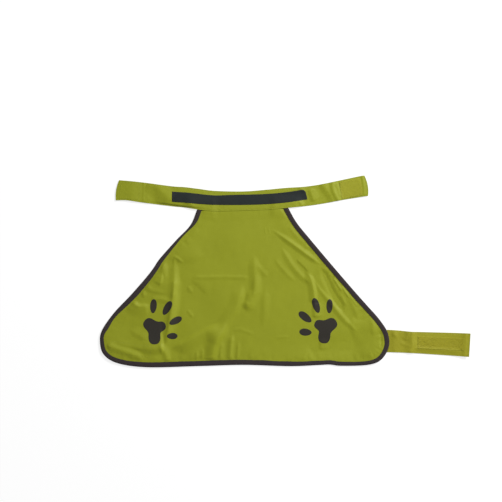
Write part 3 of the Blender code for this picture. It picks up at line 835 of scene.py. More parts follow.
def woven(name, colour, pitch):
    cloth, place = new_finish(name)
    weave = plain_weave(cloth, place, pitch)
    warp_slubs = drawn_out(cloth, place, (1.0, SLUB_STRETCH, 1.0), SLUB)
    weft_slubs = drawn_out(cloth, place, (SLUB_STRETCH, 1.0, 1.0), SLUB)
    clouds = cloth.noise(place, 55.0 * MM)
    # the weave term is painted shade, darker where the threads dip; slubs and clouds are uneven dye
    depth = 0.30 * weave + 0.20 * warp_slubs + 0.20 * weft_slubs + 0.30 * clouds
    crinkle = cloth.bump(cloth.noise(place, 5.0 * MM), 0.10 * MM, 0.6)
    surface = cloth.bump(weave, 0.06 * MM, 0.8, under=crinkle)
    tint = cloth.mix(depth, scaled(colour, 0.84), scaled(colour, 1.16))
    cloth.set(Base_Color=tint, Roughness=0.66 - 0.08 * weave, Normal=surface)
    cloth.set(Specular_IOR_Level=0.35, Sheen_Weight=0.05, Sheen_Roughness=0.45)
    cloth.set(Sheen_Tint=scaled(colour, 2.2))
    return cloth


THREAD_PITCH = 0.45 * MM
lime = woven("Lime cloth", LIME, THREAD_PITCH)
warm_lime = woven("Lime cloth of the belly strap", WARM_LIME, THREAD_PITCH)
print("threads to the centimetre:", round(10.0 * MM / THREAD_PITCH))

# %% [markdown]
# ## The back panel
#
# The panel is one cut of cloth. Its net is blended between the four edges, so the rows follow
# the hem and the columns follow the sides, and no cell is badly stretched. The upper net has
# twice the cells each way, because that is the side that is looked at.

# %% The panel's net seen from above
PANEL_COLUMNS = 344
PANEL_ROWS = 192


def blended(left, right, hem, top):
    """A net between four edges: left and right run up, hem and top run to the right."""
    across = np.linspace(0.0, 1.0, len(hem))[:, None, None]
    up = np.linspace(0.0, 1.0, len(left))[None, :, None]
    sides = (1.0 - across) * left[None] + across * right[None]
    ends = (1.0 - up) * hem[:, None] + up * top[:, None]
    near_hem = (1.0 - across) * hem[0] + across * hem[-1]
    near_top = (1.0 - across) * top[0] + across * top[-1]
    return sides + ends - (1.0 - up) * near_hem - up * near_top


edge = rim + inward(rim) * EDGE_ROOM        # one point longer than the outline at each end
left_side = evenly(edge[: left_turn + 2][::-1], PANEL_ROWS + 1)
right_side = evenly(edge[right_turn + 1 :], PANEL_ROWS + 1)
hem_side = evenly(edge[left_turn + 1 : right_turn + 2], PANEL_COLUMNS + 1)
top_side = evenly(np.array([left_side[-1], right_side[-1]]), PANEL_COLUMNS + 1)
plan = blended(left_side, right_side, hem_side, top_side)
print("raw side of the panel in mm:", round(run_of(left_side)[-1] / MM))

# %% The panel's cloth
def lifted(net, height):
    return np.concatenate([net[..., :2], height[..., None]], axis=-1)


def flattened(*nets):
    """The flat place of every point of some nets, whose own x and y are their place."""
    return np.vstack([lifted(net, 0.0 * net[..., 0]).reshape(-1, 3) for net in nets])


under = panel_under(plan[..., 0], plan[..., 1]) + CLOTH_RISE
upper_net = lifted(plan, under + CLOTH)
lower_net = lifted(plan, under)[::2, ::2]
points, faces = shell(upper_net, lower_net, every=2)
panel = piece("panel_cloth", points, faces, flattened(upper_net, lower_net), lime, "lime_cloth")
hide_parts("back_panel")
print("the panel's cloth lies up to", round(points[:, 2].max() / MM, 2), "mm over the table")

# %% [markdown]
# ## Black binding
#
# Binding tape is folded over the raw edge and sewn down through all layers. Its fold is round,
# its two legs are flat, and the seam sinks in a little near their inner edges. Across the tape
# run fine ribs. The tape shows more or less of its width as it goes round, and high on the left
# it has rolled under, so a table gives the width that shows.

# %% The ribbed tape's finish
def ribbed(name, colour, pitch):
    tape, place = new_finish(name)
    rib = crown(part_of(tape, place, "X") / pitch)
    fluff = tape.noise(place, 0.5 * MM)
    # the rib term is painted shade, darker in the furrows between ribs; fluff and broad noise are
    # random tone
    depth = 0.4 * rib + 0.3 * fluff + 0.3 * tape.noise(place, 24.0 * MM)
    surface = tape.bump(rib, 0.10 * MM, 0.7, under=tape.bump(fluff, 0.05 * MM, 0.5))
    tint = tape.mix(depth, scaled(colour, 0.6), scaled(colour, 1.4))
    tape.set(Base_Color=tint, Roughness=0.78 - 0.10 * rib, Normal=surface)
    tape.set(Specular_IOR_Level=0.15, Sheen_Weight=0.04, Sheen_Roughness=0.5)
    return tape


RIB_PITCH = 0.8 * MM
black = ribbed("Black ribbed tape", BLACK, RIB_PITCH)
print("ribs to the centimetre:", 10.0 * MM / RIB_PITCH)

# %% The binding's section
BINDING_SECTION = (
    # reach in from the outside in mm, share of the width's change (+ below, - above), height in
    # mm, share of unevenness
    (9.40, 1, 0.14, 0), (8.80, 1, 0.02, 0), (7.80, 0.9, 0.34, 0), (6.60, 0.7, 0.00, 0),
    (2.60, 0.2, 0.00, 0), (1.20, 0, 0.08, 0), (0.45, 0, 0.40, 0), (0.10, 0, 0.95, 0),
    (0.00, 0, 1.60, 0.2), (0.12, 0, 2.20, 0.5), (0.50, 0, 2.72, 0.8), (1.20, 0, 3.00, 1),
    (2.40, -0.2, 3.14, 1), (4.40, -0.5, 3.16, 1), (6.20, -0.7, 3.08, 1),
    (7.20, -0.8, 2.94, 0.6), (7.80, -0.9, 2.84, 0.3), (8.30, -0.9, 2.92, 0.5),
    (9.00, -1, 2.92, 0.6), (9.42, -1, 2.78, 0.4), (9.50, -1, 2.50, 0.2),
    (9.38, -1, 2.24, 0), (8.80, -1, 2.16, 0), (5.20, -0.6, 2.16, 0),
    (1.60, 0, 2.16, 0), (1.15, 0, 1.75, 0), (1.60, 0, 1.34, 0), (5.20, 0.6, 1.34, 0),
    (8.80, 1, 1.34, 0), (9.38, 1, 1.15, 0), (9.50, 1, 0.65, 0),
)
UNDER_SEAM = 2      # the rows of the section where the seam runs
UPPER_SEAM = 16
UPPER_EDGE = 20     # and the one where the upper leg ends
section = np.array(BINDING_SECTION)
section[:, (0, 2)] *= MM
around_tape = run_of(section[:, (0, 2)])
tape_breadth = around_tape[UPPER_EDGE]
print("width of the tape before it was folded, in mm:", round(tape_breadth / MM, 1))

# %% The binding carried round the panel
BINDING_STEP = 2.0 * MM
TUCKED = 5.0 * MM           # how far each end runs on under the neck band
BINDING_WIDTHS = (
    # way from the left neck corner, width that shows, both in mm
    (0, 9),
    (20, 8.5),
    (40, 4.5),      # rolled under, high on the left side
    (60, 4.5),
    (100, 7),
    (200, 10.5),    # full again halfway down
    (265, 7.5),
    (290, 9),
    (320, 8),       # round the left corner
    (440, 10),      # the hem
    (640, 10),
    (840, 8),       # and the right corner and side
    (960, 9),
    (1262, 9),
)
WIDTH_POINTS = 600
PRESSED = 0.17              # how much flatter the tape is under the neck band
PRESSED_TO = 2.0 * MM       # from each of its ends
PRESSED_FADE = 4.0 * MM
TAPE_WOBBLE = ((0.20, 36.0, 31),)       # rows for uneven(), sideways and upwards
TAPE_PUFF = ((0.10, 9.0, 32),)

bound = run_on(outline, TUCKED)
path = evenly(bound, round(run_of(bound)[-1] / BINDING_STEP) + 1)
run = run_of(path)
from_end = np.minimum(run, run[-1] - run)
pressed = 1.0 - PRESSED * (1.0 - ease((from_end - PRESSED_TO) / PRESSED_FADE))
widths = evenly(drawn(BINDING_WIDTHS), WIDTH_POINTS)
missing = BINDING - np.interp(run - TUCKED, *widths.T)
wobble = uneven(run, 0.0 * run, TAPE_WOBBLE)
puffed = uneven(run, 0.0 * run, TAPE_PUFF)

rings = []
for reach, share, height, puff in section:
    turned_in = np.maximum(missing, 0.0) if share > 0.0 else missing
    in_from_edge = reach + share * turned_in + reach / BINDING * wobble
    place = path + inward(path) * in_from_edge[:, None]
    rings.append(np.column_stack([place, underlay(*place.T) + height * pressed + puff * puffed]))
binding_rings = np.stack(rings, axis=1)
tape_cut = np.stack(np.broadcast_arrays(run[:, None], around_tape, 0.0), axis=-1).reshape(-1, 3)
binding = piece("binding_tape", *sweep(binding_rings[None]), tape_cut, black, "black_tape")
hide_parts("edge_binding")

# %% [markdown]
# ## Doubled strips
#
# The neck band and the belly strap are sewn double: the cloth is folded lengthwise, its raw
# edges are turned in, and the edges are stitched. The result is soft at its edges and has a
# fine groove where the stitches pull. A strip is described by lines across it, so a class
# keeps those lines. A lane on it is the whole strip, or the place of a tape that is sewn to it.

# %% Points spaced closely at the edges, and a rounded edge
EDGE_POINTS = np.array([0.0, 0.10, 0.30, 0.60, 1.0, 1.5, 2.0, 2.5, 3.2]) * MM
STRIP_STEP = 1.6 * MM
LEAST_EDGE = 0.10           # an edge is never thinner than this share of its piece
GROOVE = 0.15 * MM
GROOVE_WIDTH = 0.65 * MM


def spaced(length, step=STRIP_STEP, edge_points=EDGE_POINTS):
    reach = edge_points[-1]
    count = max(3, math.ceil((length - 2.0 * reach) / step) + 1)
    middle = np.linspace(reach, length - reach, count)[1:-1]
    return np.concatenate([edge_points, middle, length - edge_points[::-1]])


def rounded(from_edge, radius):
    """How full a piece is at a distance from its edge, up to 1."""
    short = 1.0 - np.clip(from_edge / radius, 0.0, 1.0)
    return np.maximum(np.sqrt(1.0 - short**2), LEAST_EDGE)


# %% A strip described by lines across it
class Strip:
    def __init__(self, table):
        rows = np.array([row[1:] for row in table])
        rows[:, (0, 1, 2, 3, 5)] *= MM
        self.curve = smooth_rows(rows)
        self.run = run_of((self.curve[:, 0:2] + self.curve[:, 2:4]) / 2.0)
        self.length = self.run[-1]
        self.marks = {row[0]: self.run[number * CURVE_PARTS] for number, row in enumerate(table)}

    def lines(self, along):
        return np.column_stack([np.interp(along, self.run, column) for column in self.curve.T])

    def width(self, along):
        lines = self.lines(along)
        return np.linalg.norm(lines[:, 2:4] - lines[:, 0:2], axis=1)

    def spot(self, along, down):
        """Points a way along the strip and a way down from its upper edge."""
        lines = self.lines(along)
        width = self.width(along)[:, None]
        share = (down / width)[..., None]
        ahead = (lines[:, 2:4] - lines[:, 0:2])[:, ::-1] * (-1.0, 1.0) / width
        bow = 4.0 * share * (1.0 - share) * lines[:, None, 5:6]
        return lines[:, None, 0:2] * (1.0 - share) + lines[:, None, 2:4] * share + ahead[:, None] * bow

    def lane(self, begin, end, breadth, share=None):
        """A lane on a part of the strip. It keeps to the strip's own middle, or to a given one."""
        along = begin + spaced(end - begin)
        middle = self.lines(along)[:, 4] if share is None else share
        return Lane(self, along, middle * self.width(along) - breadth / 2.0, breadth)

    def whole(self):
        along = spaced(self.length)
        return Lane(self, along, 0.0 * along, self.width(along))


# %% A lane on a strip, and a slab that fills it
class Lane:
    def __init__(self, strip, along, first, breadth):
        self.strip = strip
        self.along = along
        self.first = first      # the way down to its upper edge
        self.breadth = breadth + 0.0 * along
        self.length = along[-1] - along[0]

    def spot(self, way, down):
        """Points a way along the strip and a way down from the lane's upper edge."""
        return self.strip.spot(way, np.interp(way, self.along, self.first)[:, None] + down)

    def slab(self, base, wall, radius, groove_in=None):
        """A closed slab on a base, perhaps with a groove some way in from its edge."""
        size = self.breadth.mean()
        shares = spaced(1.0, STRIP_STEP / size, EDGE_POINTS / size)
        down = self.first[:, None] + shares * self.breadth[:, None]
        spots = self.strip.spot(self.along, down)
        from_side = np.minimum(shares, 1.0 - shares) * size
        from_tip = np.minimum(self.along - self.along[0], self.along[-1] - self.along)
        from_edge = np.minimum(from_side[None, :], from_tip[:, None])
        full = rounded(from_edge, radius)
        pull = 0.0 * full
        if groove_in is not None:
            pull = GROOVE * np.exp(-(((from_edge - groove_in) / GROOVE_WIDTH) ** 2))
        floor = base(spots[..., 0], spots[..., 1])
        upper = lifted(spots, floor + wall / 2.0 * (1.0 + full) - pull)
        lower = lifted(spots, floor + wall / 2.0 * (1.0 - full) + pull / 2.0)
        cut = np.stack([self.along[:, None] + 0.0 * down, down], axis=-1)[:, ::-1]
        return *shell(upper[:, ::-1], lower[:, ::-1]), flattened(cut, cut)


# %% The neck band and the belly strap
STRIP_WALL = 0.9 * MM
STRIP_ROUND = 0.45 * MM
SEAM_IN = 2.0 * MM          # how far a strip's seam lies in from its edge


def doubled_strip(name, strip, base, finish):
    print(name + " in mm:", round(strip.length / MM), "x", round(strip.width(strip.run).mean() / MM))
    slab = strip.whole().slab(base, STRIP_WALL, STRIP_ROUND, SEAM_IN)
    return piece(name, *slab, finish, "lime_cloth")


band = Strip(NECK_BAND)
neck = doubled_strip("neck_band_cloth", band, band_under, lime)
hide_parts("neck_band")
strap = Strip(BELLY_STRAP)
belly = doubled_strip("belly_strap_cloth", strap, strap_under, warm_lime)
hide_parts("belly_strap")


# %% [markdown]
# ## Reflective tape and film
#
# Reflective tape is cloth with a skin of tiny glass beads on a silvered ground. In plain light
# it is a dark, even grey with a fine grain. The film of the paw prints has the same beads under
# a smoother face. The beads are small cells of bump, and the grey drifts a little.

# %% The beaded finish
BEAD = 0.22 * MM


def beaded(name, cool, warm, roughness, drift):
    skin, place = new_finish(name)
    beads = skin.add("ShaderNodeTexVoronoi", {"feature": "F1"}, {"Vector": place, "Scale": 1.0 / BEAD})
    fleck = skin.noise(place, 1.2 * MM)
    grey = skin.mix(skin.noise(place, drift), cool, warm)
    tint = skin.mix(0.25 * fleck + 0.35 * beads, grey, scaled(cool, 1.6))
    waves = skin.bump(skin.noise(place, 7.0 * MM), 0.08 * MM, 0.6)
    skin.set(Base_Color=tint, Roughness=roughness + 0.12 * fleck)
    skin.set(Normal=skin.bump(1.0 - beads, 0.05 * MM, 0.5, under=waves), Specular_IOR_Level=0.10)
    return skin


strip_skin = beaded("Reflective tape", dye(30, 38, 37), dye(38, 33, 33), 0.50, 60.0 * MM)
film_skin = beaded("Reflective film", dye(43, 42, 37), dye(45, 39, 36), 0.55, 30.0 * MM)
print("bead size in mm:", BEAD / MM)

# %% The reflective strip
CLEAR = 0.06 * MM           # what lies on cloth stays this clear of it
STRIP_TAPE = 0.35 * MM
TAPE_ROUND = 0.20 * MM
STRIP_CORNER = 7.0 * MM     # the upper right corner is cut round
STRIP_DIP = 1.6 * MM        # the band's cloth rolls a little over the upper edge, left of the middle
STRIP_DIP_REACH = 26.0 * MM

on_band = raised(band_under, STRIP_WALL + CLEAR)
strip_lane = band.lane(band.marks["strip start"], band.marks["strip end"], STRIP)
to_corner = np.clip(strip_lane.along[-1] - strip_lane.along, 0.0, STRIP_CORNER)
cut_off = STRIP_CORNER - np.sqrt(STRIP_CORNER**2 - (STRIP_CORNER - to_corner) ** 2)
from_dip = (strip_lane.along - band.marks["left quarter"]) / STRIP_DIP_REACH
cut_off += STRIP_DIP * np.exp(-(from_dip**2))
strip_lane = Lane(band, strip_lane.along, strip_lane.first + cut_off, STRIP - cut_off)
slab = strip_lane.slab(on_band, STRIP_TAPE, TAPE_ROUND)
reflective = piece("reflective_strip_tape", *slab, strip_skin, "reflective_tape")
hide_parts("reflective_strip")
print("reflective strip in mm:", round(strip_lane.length / MM), "x", STRIP / MM)

# %% [markdown]
# ## Paw prints
#
# Each print is five pieces of film, cut out and pressed on with heat. The pad is a round middle
# with three lobes that swell out of it, and a toe is an oval that is fuller at its outer end.
# A piece is built from rings that shrink towards its middle, over the top and back underneath,
# and every point takes its height from the cloth below it.

# %% The outlines of a pad and of a toe
PAD_MIDDLE = 14.3
PAD_LOBES = (
    # direction in degrees, swell in mm, spread in degrees
    (17, 8.4, 33),          # the inner lobe
    (141, 10, 41),          # the outer lobe
    (270.5, 16.5, 34.5),    # the foot
)
PAD_FLATNESS = 3.0          # how flat each lobe is at its tip: 2 is a plain bell
TOE_FULLNESS = 0.10
LEFT_TOES = (
    # x and y from the middle of the pad, length and width in mm, direction in degrees
    (-2, 43, 27.4, 12.7, 85),
    (25, 39.5, 30, 13.4, 60),
    (41.1, 14.8, 26, 13, 27),
    (34.4, -15, 20.3, 12.2, 0),
)
RIGHT_TOES = (
    (-2.7, 42, 27.4, 12, 85),
    (23.2, 40.3, 30, 13.4, 65),
    (41.7, 15.5, 29.9, 14.6, 31),
    (37.4, -13.6, 23.8, 13.8, -2),
)
PAWS = (
    # name, x and y of the middle of the pad in mm, side (-1 turns it over), turn in degrees,
    # toes
    ("left_paw", -172.5, -81, 1, 0, LEFT_TOES),
    ("right_paw", 159, -79.5, -1, -7, RIGHT_TOES),
)


def pad_outline(points=96):
    direction = np.linspace(0.0, 360.0, points, endpoint=False)
    reach = PAD_MIDDLE + 0.0 * direction
    for lobe, swell, spread in PAD_LOBES:
        away = (direction - lobe + 180.0) % 360.0 - 180.0
        reach += swell * np.exp(-(np.abs(away / spread) ** PAD_FLATNESS))
    angle = np.radians(direction)
    return np.column_stack([reach * np.cos(angle), reach * np.sin(angle)])


def toe_outline(x, y, length, width, direction, points=56):
    angle = np.linspace(0.0, 2.0 * math.pi, points, endpoint=False)
    along = np.cos(angle) * length / 2.0
    side = np.sin(angle) * width / 2.0 * (1.0 + TOE_FULLNESS * np.cos(angle))
    shift_x, shift_y = turned(along, side, direction)
    return np.column_stack([x + shift_x, y + shift_y])


# %% A piece of film on the cloth
FILM = 0.16 * MM
FILM_EDGE = 0.08 * MM       # its height at its edge
FILM_SLOPE = 3.2 * MM       # how fast it rises from there to its full height
FILM_SHARES = (0.12, 0.26, 0.40, 0.54, 0.67, 0.78, 0.87, 0.935, 0.975, 1.0)


def print_piece(name, shape, paw):
    _, middle_x, middle_y, side, turn, _ = paw
    x, y = turned(shape[:, 0] * side, shape[:, 1], turn)
    rim_points = np.column_stack([middle_x + x, middle_y + y])[:: int(side)] * MM
    middle = rim_points.mean(axis=0)
    rings = []
    for shares, rise in ((FILM_SHARES, FILM), (FILM_SHARES[::-1], 0.0)):
        for share in shares:
            ring = middle + share * (rim_points - middle)
            edge_rise = min(rise, (1.0 - share) * FILM_SLOPE + FILM_EDGE)
            rings.append(laid_on(raised(panel_top, CLEAR + edge_rise), ring))
    rings = np.stack(rings)[None]
    return piece(name, *sweep(rings), flattened(rings), film_skin, "reflective_film")


prints = []
for paw in PAWS:
    shapes = {"pad": pad_outline()}
    for number, toe in enumerate(paw[-1], start=1):
        shapes[f"toe_{number}"] = toe_outline(*toe)
    for part, shape in shapes.items():
        film = print_piece(f"{paw[0]}_{part}_film", shape, paw)
        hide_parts(f"{paw[0]}_{part}")
        prints.append(film)

# %% [markdown]
# ## Round threads
#
# Stitches, hooks and loops are all short round threads along a bent line. One function makes
# any number of them at once: it takes the centre lines, sets a ring of points round each step,
# and joins the rings. Thousands of threads then cost one mesh and hardly any time.

# %% Many short threads as one mesh
UP = np.array([0.0, 0.0, 1.0])


def threads(lines, radii, sides):
    """Points, faces and flat places of a round thread along each of many centre lines."""
    along = unit(np.gradient(lines, axis=1))
    sideways = unit(np.cross(lines[:, -1] - lines[:, 0], UP))
    side = np.repeat(sideways[:, None], lines.shape[1], axis=1)
    over = np.cross(side, along)
    angle = 2.0 * math.pi * np.arange(sides)[:, None] / sides
    turn = np.cos(angle) * side[:, :, None] + np.sin(angle) * over[:, :, None]
    points = lines[:, :, None] + radii[:, None, None] * turn
    steps = np.diff(lines, axis=1, prepend=lines[:, :1])
    cut = np.zeros(points.shape)
    cut[..., 0] = np.cumsum(np.linalg.norm(steps, axis=-1), axis=1)[:, :, None]
    cut[..., 1] = radii.max() * angle[:, 0]
    cut[..., 2] = np.arange(len(lines))[:, None, None] * MM
    return *sweep(points), cut.reshape(-1, 3)


# %% [markdown]
# ## Sewing thread and stitches
#
# Sewing thread is a few fine yarns twisted together. The twist shows as slanting bands round
# the thread, so its bump is a crown of the length and of the way round, added together, and the
# same crown paints the grooves darker, as painted shade. A stitch comes up out of the cloth, lies
# along it and goes down again, and no two are alike.

# %% The twisted finish
TWIST_PITCH = 0.5 * MM


def twisted(name, colour):
    thread, place = new_finish(name)
    twist = crown((part_of(thread, place, "X") + part_of(thread, place, "Y")) / TWIST_PITCH)
    # painted shade: the twist darkens the colour in the grooves between its plies
    tint = thread.mix(twist, scaled(colour, 0.75), scaled(colour, 1.1))
    thread.set(Base_Color=tint, Roughness=0.62 - 0.1 * twist)
    thread.set(Normal=thread.bump(twist, 0.05 * MM, 0.7), Specular_IOR_Level=0.25)
    return thread


lime_thread = twisted("Lime thread", dye(150, 156, 48))
black_thread = twisted("Black thread", dye(48, 41, 41))
print("turns of twist to the centimetre:", 10.0 * MM / TWIST_PITCH)

# %% Stitches along a path
STITCH = 3.1 * MM           # from one stitch to the next
SPACE = 0.6 * MM
THREAD = 0.17 * MM
STITCH_SIDES = 5
STITCH_SHARES = np.array([0.0, 0.13, 0.5, 0.87, 1.0])
STITCH_RISE = np.array([-0.8, 0.35, 0.7, 0.35, -0.8]) * THREAD
STITCH_RADII = np.array([0.55, 0.95, 1.0, 0.95, 0.55]) * THREAD
STITCH_STRAY = 0.05 * MM


def stitches(path, seed, face=1.0):
    """The centre lines of a row of stitches, on the upper side of a path or the lower."""
    run = run_of(path)
    count = max(1, round(run[-1] / STITCH))
    pitch = run[-1] / count
    begin = np.arange(count)[:, None] * pitch + SPACE / 2.0
    wanted = begin + STITCH_SHARES * (pitch - SPACE)
    row = np.stack([np.interp(wanted, run, column) for column in path.T], axis=-1)
    stray = np.random.default_rng(seed).normal(0.0, STITCH_STRAY, (count, 1, 2))
    row[..., :2] += stray * (2.0 * STITCH_SHARES - 1.0)[:, None]
    row[..., 2] += face * STITCH_RISE
    return row


def sew(name, rows, finish, slot):
    lines = np.concatenate(rows)
    print("stitches in " + name + ":", len(lines))
    return piece(name, *threads(lines, STITCH_RADII, STITCH_SIDES), finish, slot)


binding_rows = [
    stitches(binding_rings[:, UPPER_SEAM], seed=41),
    stitches(binding_rings[:, UNDER_SEAM], seed=42, face=-1.0),
]
binding_stitches = sew("binding_stitches", binding_rows, black_thread, "black_tape")

# %% Rows round a lane
ROW_STEP = 1.0 * MM


def lane_row(lane, inset, surface, seed, face=1.0):
    """Stitches all round a lane, some way in from its edge, on a surface."""
    begin, end = lane.along[0] + inset, lane.along[-1] - inset
    way = np.linspace(begin, end, round((end - begin) / ROW_STEP) + 1)
    upper = np.interp(way, lane.along, lane.first) + inset
    lower = np.interp(way, lane.along, lane.first + lane.breadth) - inset
    share = np.linspace(0.0, 1.0, round((lower[0] - upper[0]) / ROW_STEP) + 1)
    right = upper[-1] + share * (lower[-1] - upper[-1])
    left = lower[0] + share * (upper[0] - lower[0])
    down = np.concatenate([upper, right, lower[::-1], left])
    way = np.concatenate([way, end + 0.0 * share, way[::-1], begin + 0.0 * share])
    spots = lane.strip.spot(way, down[:, None])[:, 0]
    return stitches(laid_on(surface, spots), seed, face)


def edge_rows(strip, base, seed):
    """Stitches all round a doubled strip, on both of its faces."""
    above = lane_row(strip.whole(), SEAM_IN, raised(base, STRIP_WALL - GROOVE), seed)
    below = lane_row(strip.whole(), SEAM_IN, raised(base, GROOVE / 2.0), seed + 1, face=-1.0)
    return [above, below]


band_rows = edge_rows(band, band_under, seed=43)
band_stitches = sew("neck_band_stitches", band_rows, lime_thread, "lime_cloth")
strap_rows = edge_rows(strap, strap_under, seed=45)
strap_stitches = sew("belly_strap_stitches", strap_rows, lime_thread, "lime_cloth")

# %% The strip's own row, and the row that catches the strap
STRIP_SEAM_IN = 1.3 * MM
CAUGHT = ((266.0, -83.5), (266.6, -103.0), (266.2, -122.5))

strip_row = lane_row(strip_lane, STRIP_SEAM_IN, raised(on_band, STRIP_TAPE), seed=47)
strip_stitches = sew("reflective_strip_stitches", [strip_row], black_thread, "reflective_tape")
caught_row = stitches(laid_on(panel_top, drawn(CAUGHT)), seed=48)
caught_stitches = sew("strap_seam_stitches", [caught_row], lime_thread, "lime_cloth")

# %% [markdown]
# ## Hook tape
#
# Hook tape is a woven ground with rows of stiff nylon hooks. A loop of monofilament is woven in
# and cut at one side, which leaves a stem that bends over at its tip. Neighbouring rows face
# opposite ways. A plain selvedge stays free along each edge, and the tape is sewn down there.

# %% The nylon and the ground of the tapes
def yarn(name, colour, roughness, specular):
    nylon, place = new_finish(name)
    mottle = nylon.noise(place, 0.8 * MM)
    nylon.set(Base_Color=nylon.mix(mottle, scaled(colour, 0.8), scaled(colour, 1.2)))
    nylon.set(Roughness=roughness + 0.15 * mottle, Specular_IOR_Level=specular)
    return nylon


GROUND_PITCH = 0.7 * MM
neck_ground = woven("Ground of the neck's hook tape", dye(149, 149, 26), GROUND_PITCH)
belly_ground = woven("Ground of the belly's hook tape", dye(147, 142, 19), GROUND_PITCH)
loop_ground = woven("Ground of the loop tape", dye(150, 152, 30), GROUND_PITCH)
neck_nylon = yarn("Nylon of the neck's hooks", dye(162, 163, 50), 0.38, 0.30)
belly_nylon = yarn("Nylon of the belly's hooks", dye(158, 154, 41), 0.38, 0.30)
loop_nylon = yarn("Loop nylon", dye(158, 160, 60), 0.60, 0.20)

# %% Rows of hooks
GROUND = 0.45 * MM
GROUND_ROUND = 0.20 * MM
SELVEDGE = 1.8 * MM
TAPE_SEAM_IN = 1.0 * MM
HOOK_ALONG = 1.7 * MM
HOOK_ACROSS = 1.5 * MM
HOOK_SIDES = 5
HOOK_STRAY = 0.08 * MM
HOOK = np.array([(0.0, -0.1), (0.0, 0.42), (0.06, 0.74), (0.26, 0.96), (0.50, 0.90), (0.60, 0.62)]) * MM
HOOK_RADII = np.array([0.12, 0.11, 0.11, 0.105, 0.10, 0.085]) * MM


def hook_lines(lane, surface, seed):
    way = np.arange(lane.along[0] + SELVEDGE, lane.along[-1] - SELVEDGE, HOOK_ALONG)
    foot = lane.spot(way, np.arange(SELVEDGE, lane.breadth[0] - SELVEDGE, HOOK_ACROSS))
    ahead = unit(np.gradient(foot, axis=0))
    ahead[:, ::2] *= -1.0
    foot += np.random.default_rng(seed).normal(0.0, HOOK_STRAY, foot.shape)
    flat = foot[:, :, None] + ahead[:, :, None] * HOOK[:, 0, None]
    rise = surface(foot[..., 0], foot[..., 1])[..., None] + HOOK[:, 1]
    return np.concatenate([flat, rise[..., None]], axis=-1).reshape(-1, len(HOOK), 3)


def tape(name, kind, lane, base, finishes, pile, row):
    """A tape's ground, its hooks or loops, and the row of stitches round it."""
    slot = kind + "_tape"
    ground = piece(name + "_ground", *lane.slab(base, GROUND, GROUND_ROUND), finishes[0], slot)
    standing = piece(f"{name}_{kind}s", *threads(*pile), finishes[1], slot)
    seam = sew(name + "_stitches", [row], lime_thread, slot)
    print(kind + "s on " + name + ":", len(pile[0]))
    return ground, standing, seam


def hook_tape(name, lane, base, finishes, seed):
    face = raised(base, GROUND)
    pile = (hook_lines(lane, face, seed), HOOK_RADII, HOOK_SIDES)
    return tape(name, "hook", lane, base, finishes, pile, lane_row(lane, TAPE_SEAM_IN, face, seed + 1))


# %% Both hook tapes
neck_lane = band.lane(band.marks["right patch"], band.marks["patch end"], NECK_TAPE, share=0.5)
neck_hooks = hook_tape("neck_hook_tape", neck_lane, on_band, (neck_ground, neck_nylon), seed=51)
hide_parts("neck_hook_patch")
belly_lane = strap.lane(strap.marks["patch start"], strap.marks["patch end"], BELLY_TAPE)
on_strap = raised(strap_under, STRIP_WALL + CLEAR)
belly_hooks = hook_tape("belly_hook_tape", belly_lane, on_strap, (belly_ground, belly_nylon), seed=53)
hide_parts("belly_hook_patch")

# %% [markdown]
# ## Loop tape
#
# The other half of a fastening is a nap of fine loops, all tangled. It faces down here, under
# the neck band's left end and under the panel's left corner, so it shows only when the vest is
# turned over. Each loop is an arc that leans its own way.

# %% A field of loops under a ground
LOOP_REST = 0.62 * MM       # the ground's underside, over the table
LOOPS_PER_AREA = 0.9 / MM**2
LOOP_SIDES = 3
LOOP_RADIUS = 0.05 * MM
LOOP_STEPS = 7
LOOP_REACH = (0.4, 0.75)    # half its span and its depth, least and most, in mm
LOOP_DEPTH = (0.32, 0.54)
LOOP_LEAN = 0.2


def loop_lines(lane, seed):
    draw = np.random.default_rng(seed)
    count = round(lane.length * lane.breadth[0] * LOOPS_PER_AREA)
    way = draw.uniform(lane.along[0] + SELVEDGE, lane.along[-1] - SELVEDGE, count)
    foot = lane.spot(way, draw.uniform(SELVEDGE, lane.breadth[0] - SELVEDGE, (count, 1)))
    heading = draw.uniform(0.0, 2.0 * math.pi, (count, 1))
    reach = draw.uniform(*LOOP_REACH, (count, 1)) * MM
    depth = draw.uniform(*LOOP_DEPTH, (count, 1)) * MM
    lean = draw.normal(0.0, LOOP_LEAN, (count, 1)) * MM
    turn = np.linspace(0.0, math.pi, LOOP_STEPS)
    ahead, aside = -reach * np.cos(turn), lean * np.sin(turn)
    x = foot[..., 0] + ahead * np.cos(heading) - aside * np.sin(heading)
    y = foot[..., 1] + ahead * np.sin(heading) + aside * np.cos(heading)
    return np.stack([x, y, LOOP_REST + CLEAR - depth * np.sin(turn)], axis=-1)


def ground_base(x, y):
    return LOOP_REST + 0.0 * x


def loop_tape(name, lane, seed):
    pile = (loop_lines(lane, seed), LOOP_RADIUS + np.zeros(LOOP_STEPS), LOOP_SIDES)
    row = lane_row(lane, TAPE_SEAM_IN, ground_base, seed + 1, face=-1.0)
    return tape(name, "loop", lane, ground_base, (loop_ground, loop_nylon), pile, row)


# %% Both loop tapes
NECK_LOOPS = (6.0 * MM, 43.5 * MM)      # from the band's left end


def mate_line(name, side):
    """A line across the belly's loop tape, at its left (-1) or right (+1) end, in mm."""
    ahead = turned(side * BELLY_MATE["length"] / 2.0, 0.0, BELLY_MATE["tilt"])
    across = turned(0.0, BELLY_MATE["width"] / 2.0, BELLY_MATE["tilt"])
    x, y = BELLY_MATE["x"] + ahead[0], BELLY_MATE["y"] + ahead[1]
    ends = (x + across[0], y + across[1], x - across[0], y - across[1])
    return (name, *(end / MM for end in ends), 0.5, 0.0)


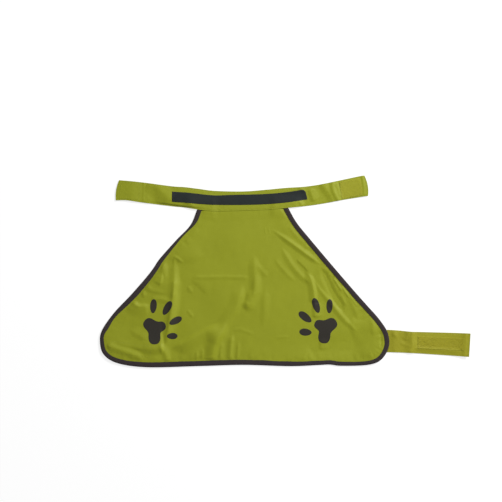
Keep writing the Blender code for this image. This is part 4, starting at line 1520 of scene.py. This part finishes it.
mate = Strip((mate_line("left end", -1.0), mate_line("right end", 1.0)))
loop_lane = band.lane(*NECK_LOOPS, NECK_TAPE, share=0.5)
neck_loops = loop_tape("neck_loop_tape", loop_lane, seed=61)
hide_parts("neck_loop_patch")
mate_lane = mate.lane(0.0, mate.length, BELLY_MATE["width"])
belly_loops = loop_tape("belly_loop_tape", mate_lane, seed=63)
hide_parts("belly_loop_patch")

# %% The rows that hold the loop tapes, where they come through the cloth above
neck_through = lane_row(loop_lane, TAPE_SEAM_IN, raised(band_under, STRIP_WALL), seed=65)
mate_through = lane_row(mate_lane, TAPE_SEAM_IN, panel_top, seed=66)
through_rows = [neck_through, mate_through]
through_stitches = sew("loop_tape_stitches_above", through_rows, lime_thread, "lime_cloth")

# %% [markdown]
# ## The cut of each piece of cloth
#
# A sheet of cloth keeps its area however it is folded. Here the size that each piece was cut
# to is worked out, next to the pieces that go on it.

# %% The size of every sheet
def flat_area(net):
    """The area of a net seen from above."""
    first = net[1:, 1:] - net[:-1, :-1]
    second = net[:-1, 1:] - net[1:, :-1]
    return np.abs(first[..., 0] * second[..., 1] - first[..., 1] * second[..., 0]).sum() / 2.0


def laid(cloth, breadth, length, with_pieces, area=None):
    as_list(with_pieces)


corners = plan.reshape(-1, 2)
panel_breadth, panel_length = corners.max(axis=0) - corners.min(axis=0)
band_breadth = band.width(band.run).mean()
strap_breadth = strap.width(strap.run).mean()
on_panel = [*prints, caught_stitches, through_stitches]

laid(panel, panel_breadth, panel_length, on_panel, area=flat_area(plan))
laid(binding, tape_breadth, run[-1], [binding_stitches])
laid(neck, band_breadth, band.length, [band_stitches])
laid(belly, strap_breadth, strap.length, [strap_stitches])
laid(reflective, STRIP, strip_lane.length, [strip_stitches])
laid(neck_hooks[0], NECK_TAPE, neck_lane.length, neck_hooks[1:])
laid(neck_loops[0], NECK_TAPE, loop_lane.length, neck_loops[1:])
laid(belly_hooks[0], BELLY_TAPE, belly_lane.length, belly_hooks[1:])
laid(belly_loops[0], BELLY_MATE["width"], mate_lane.length, belly_loops[1:])
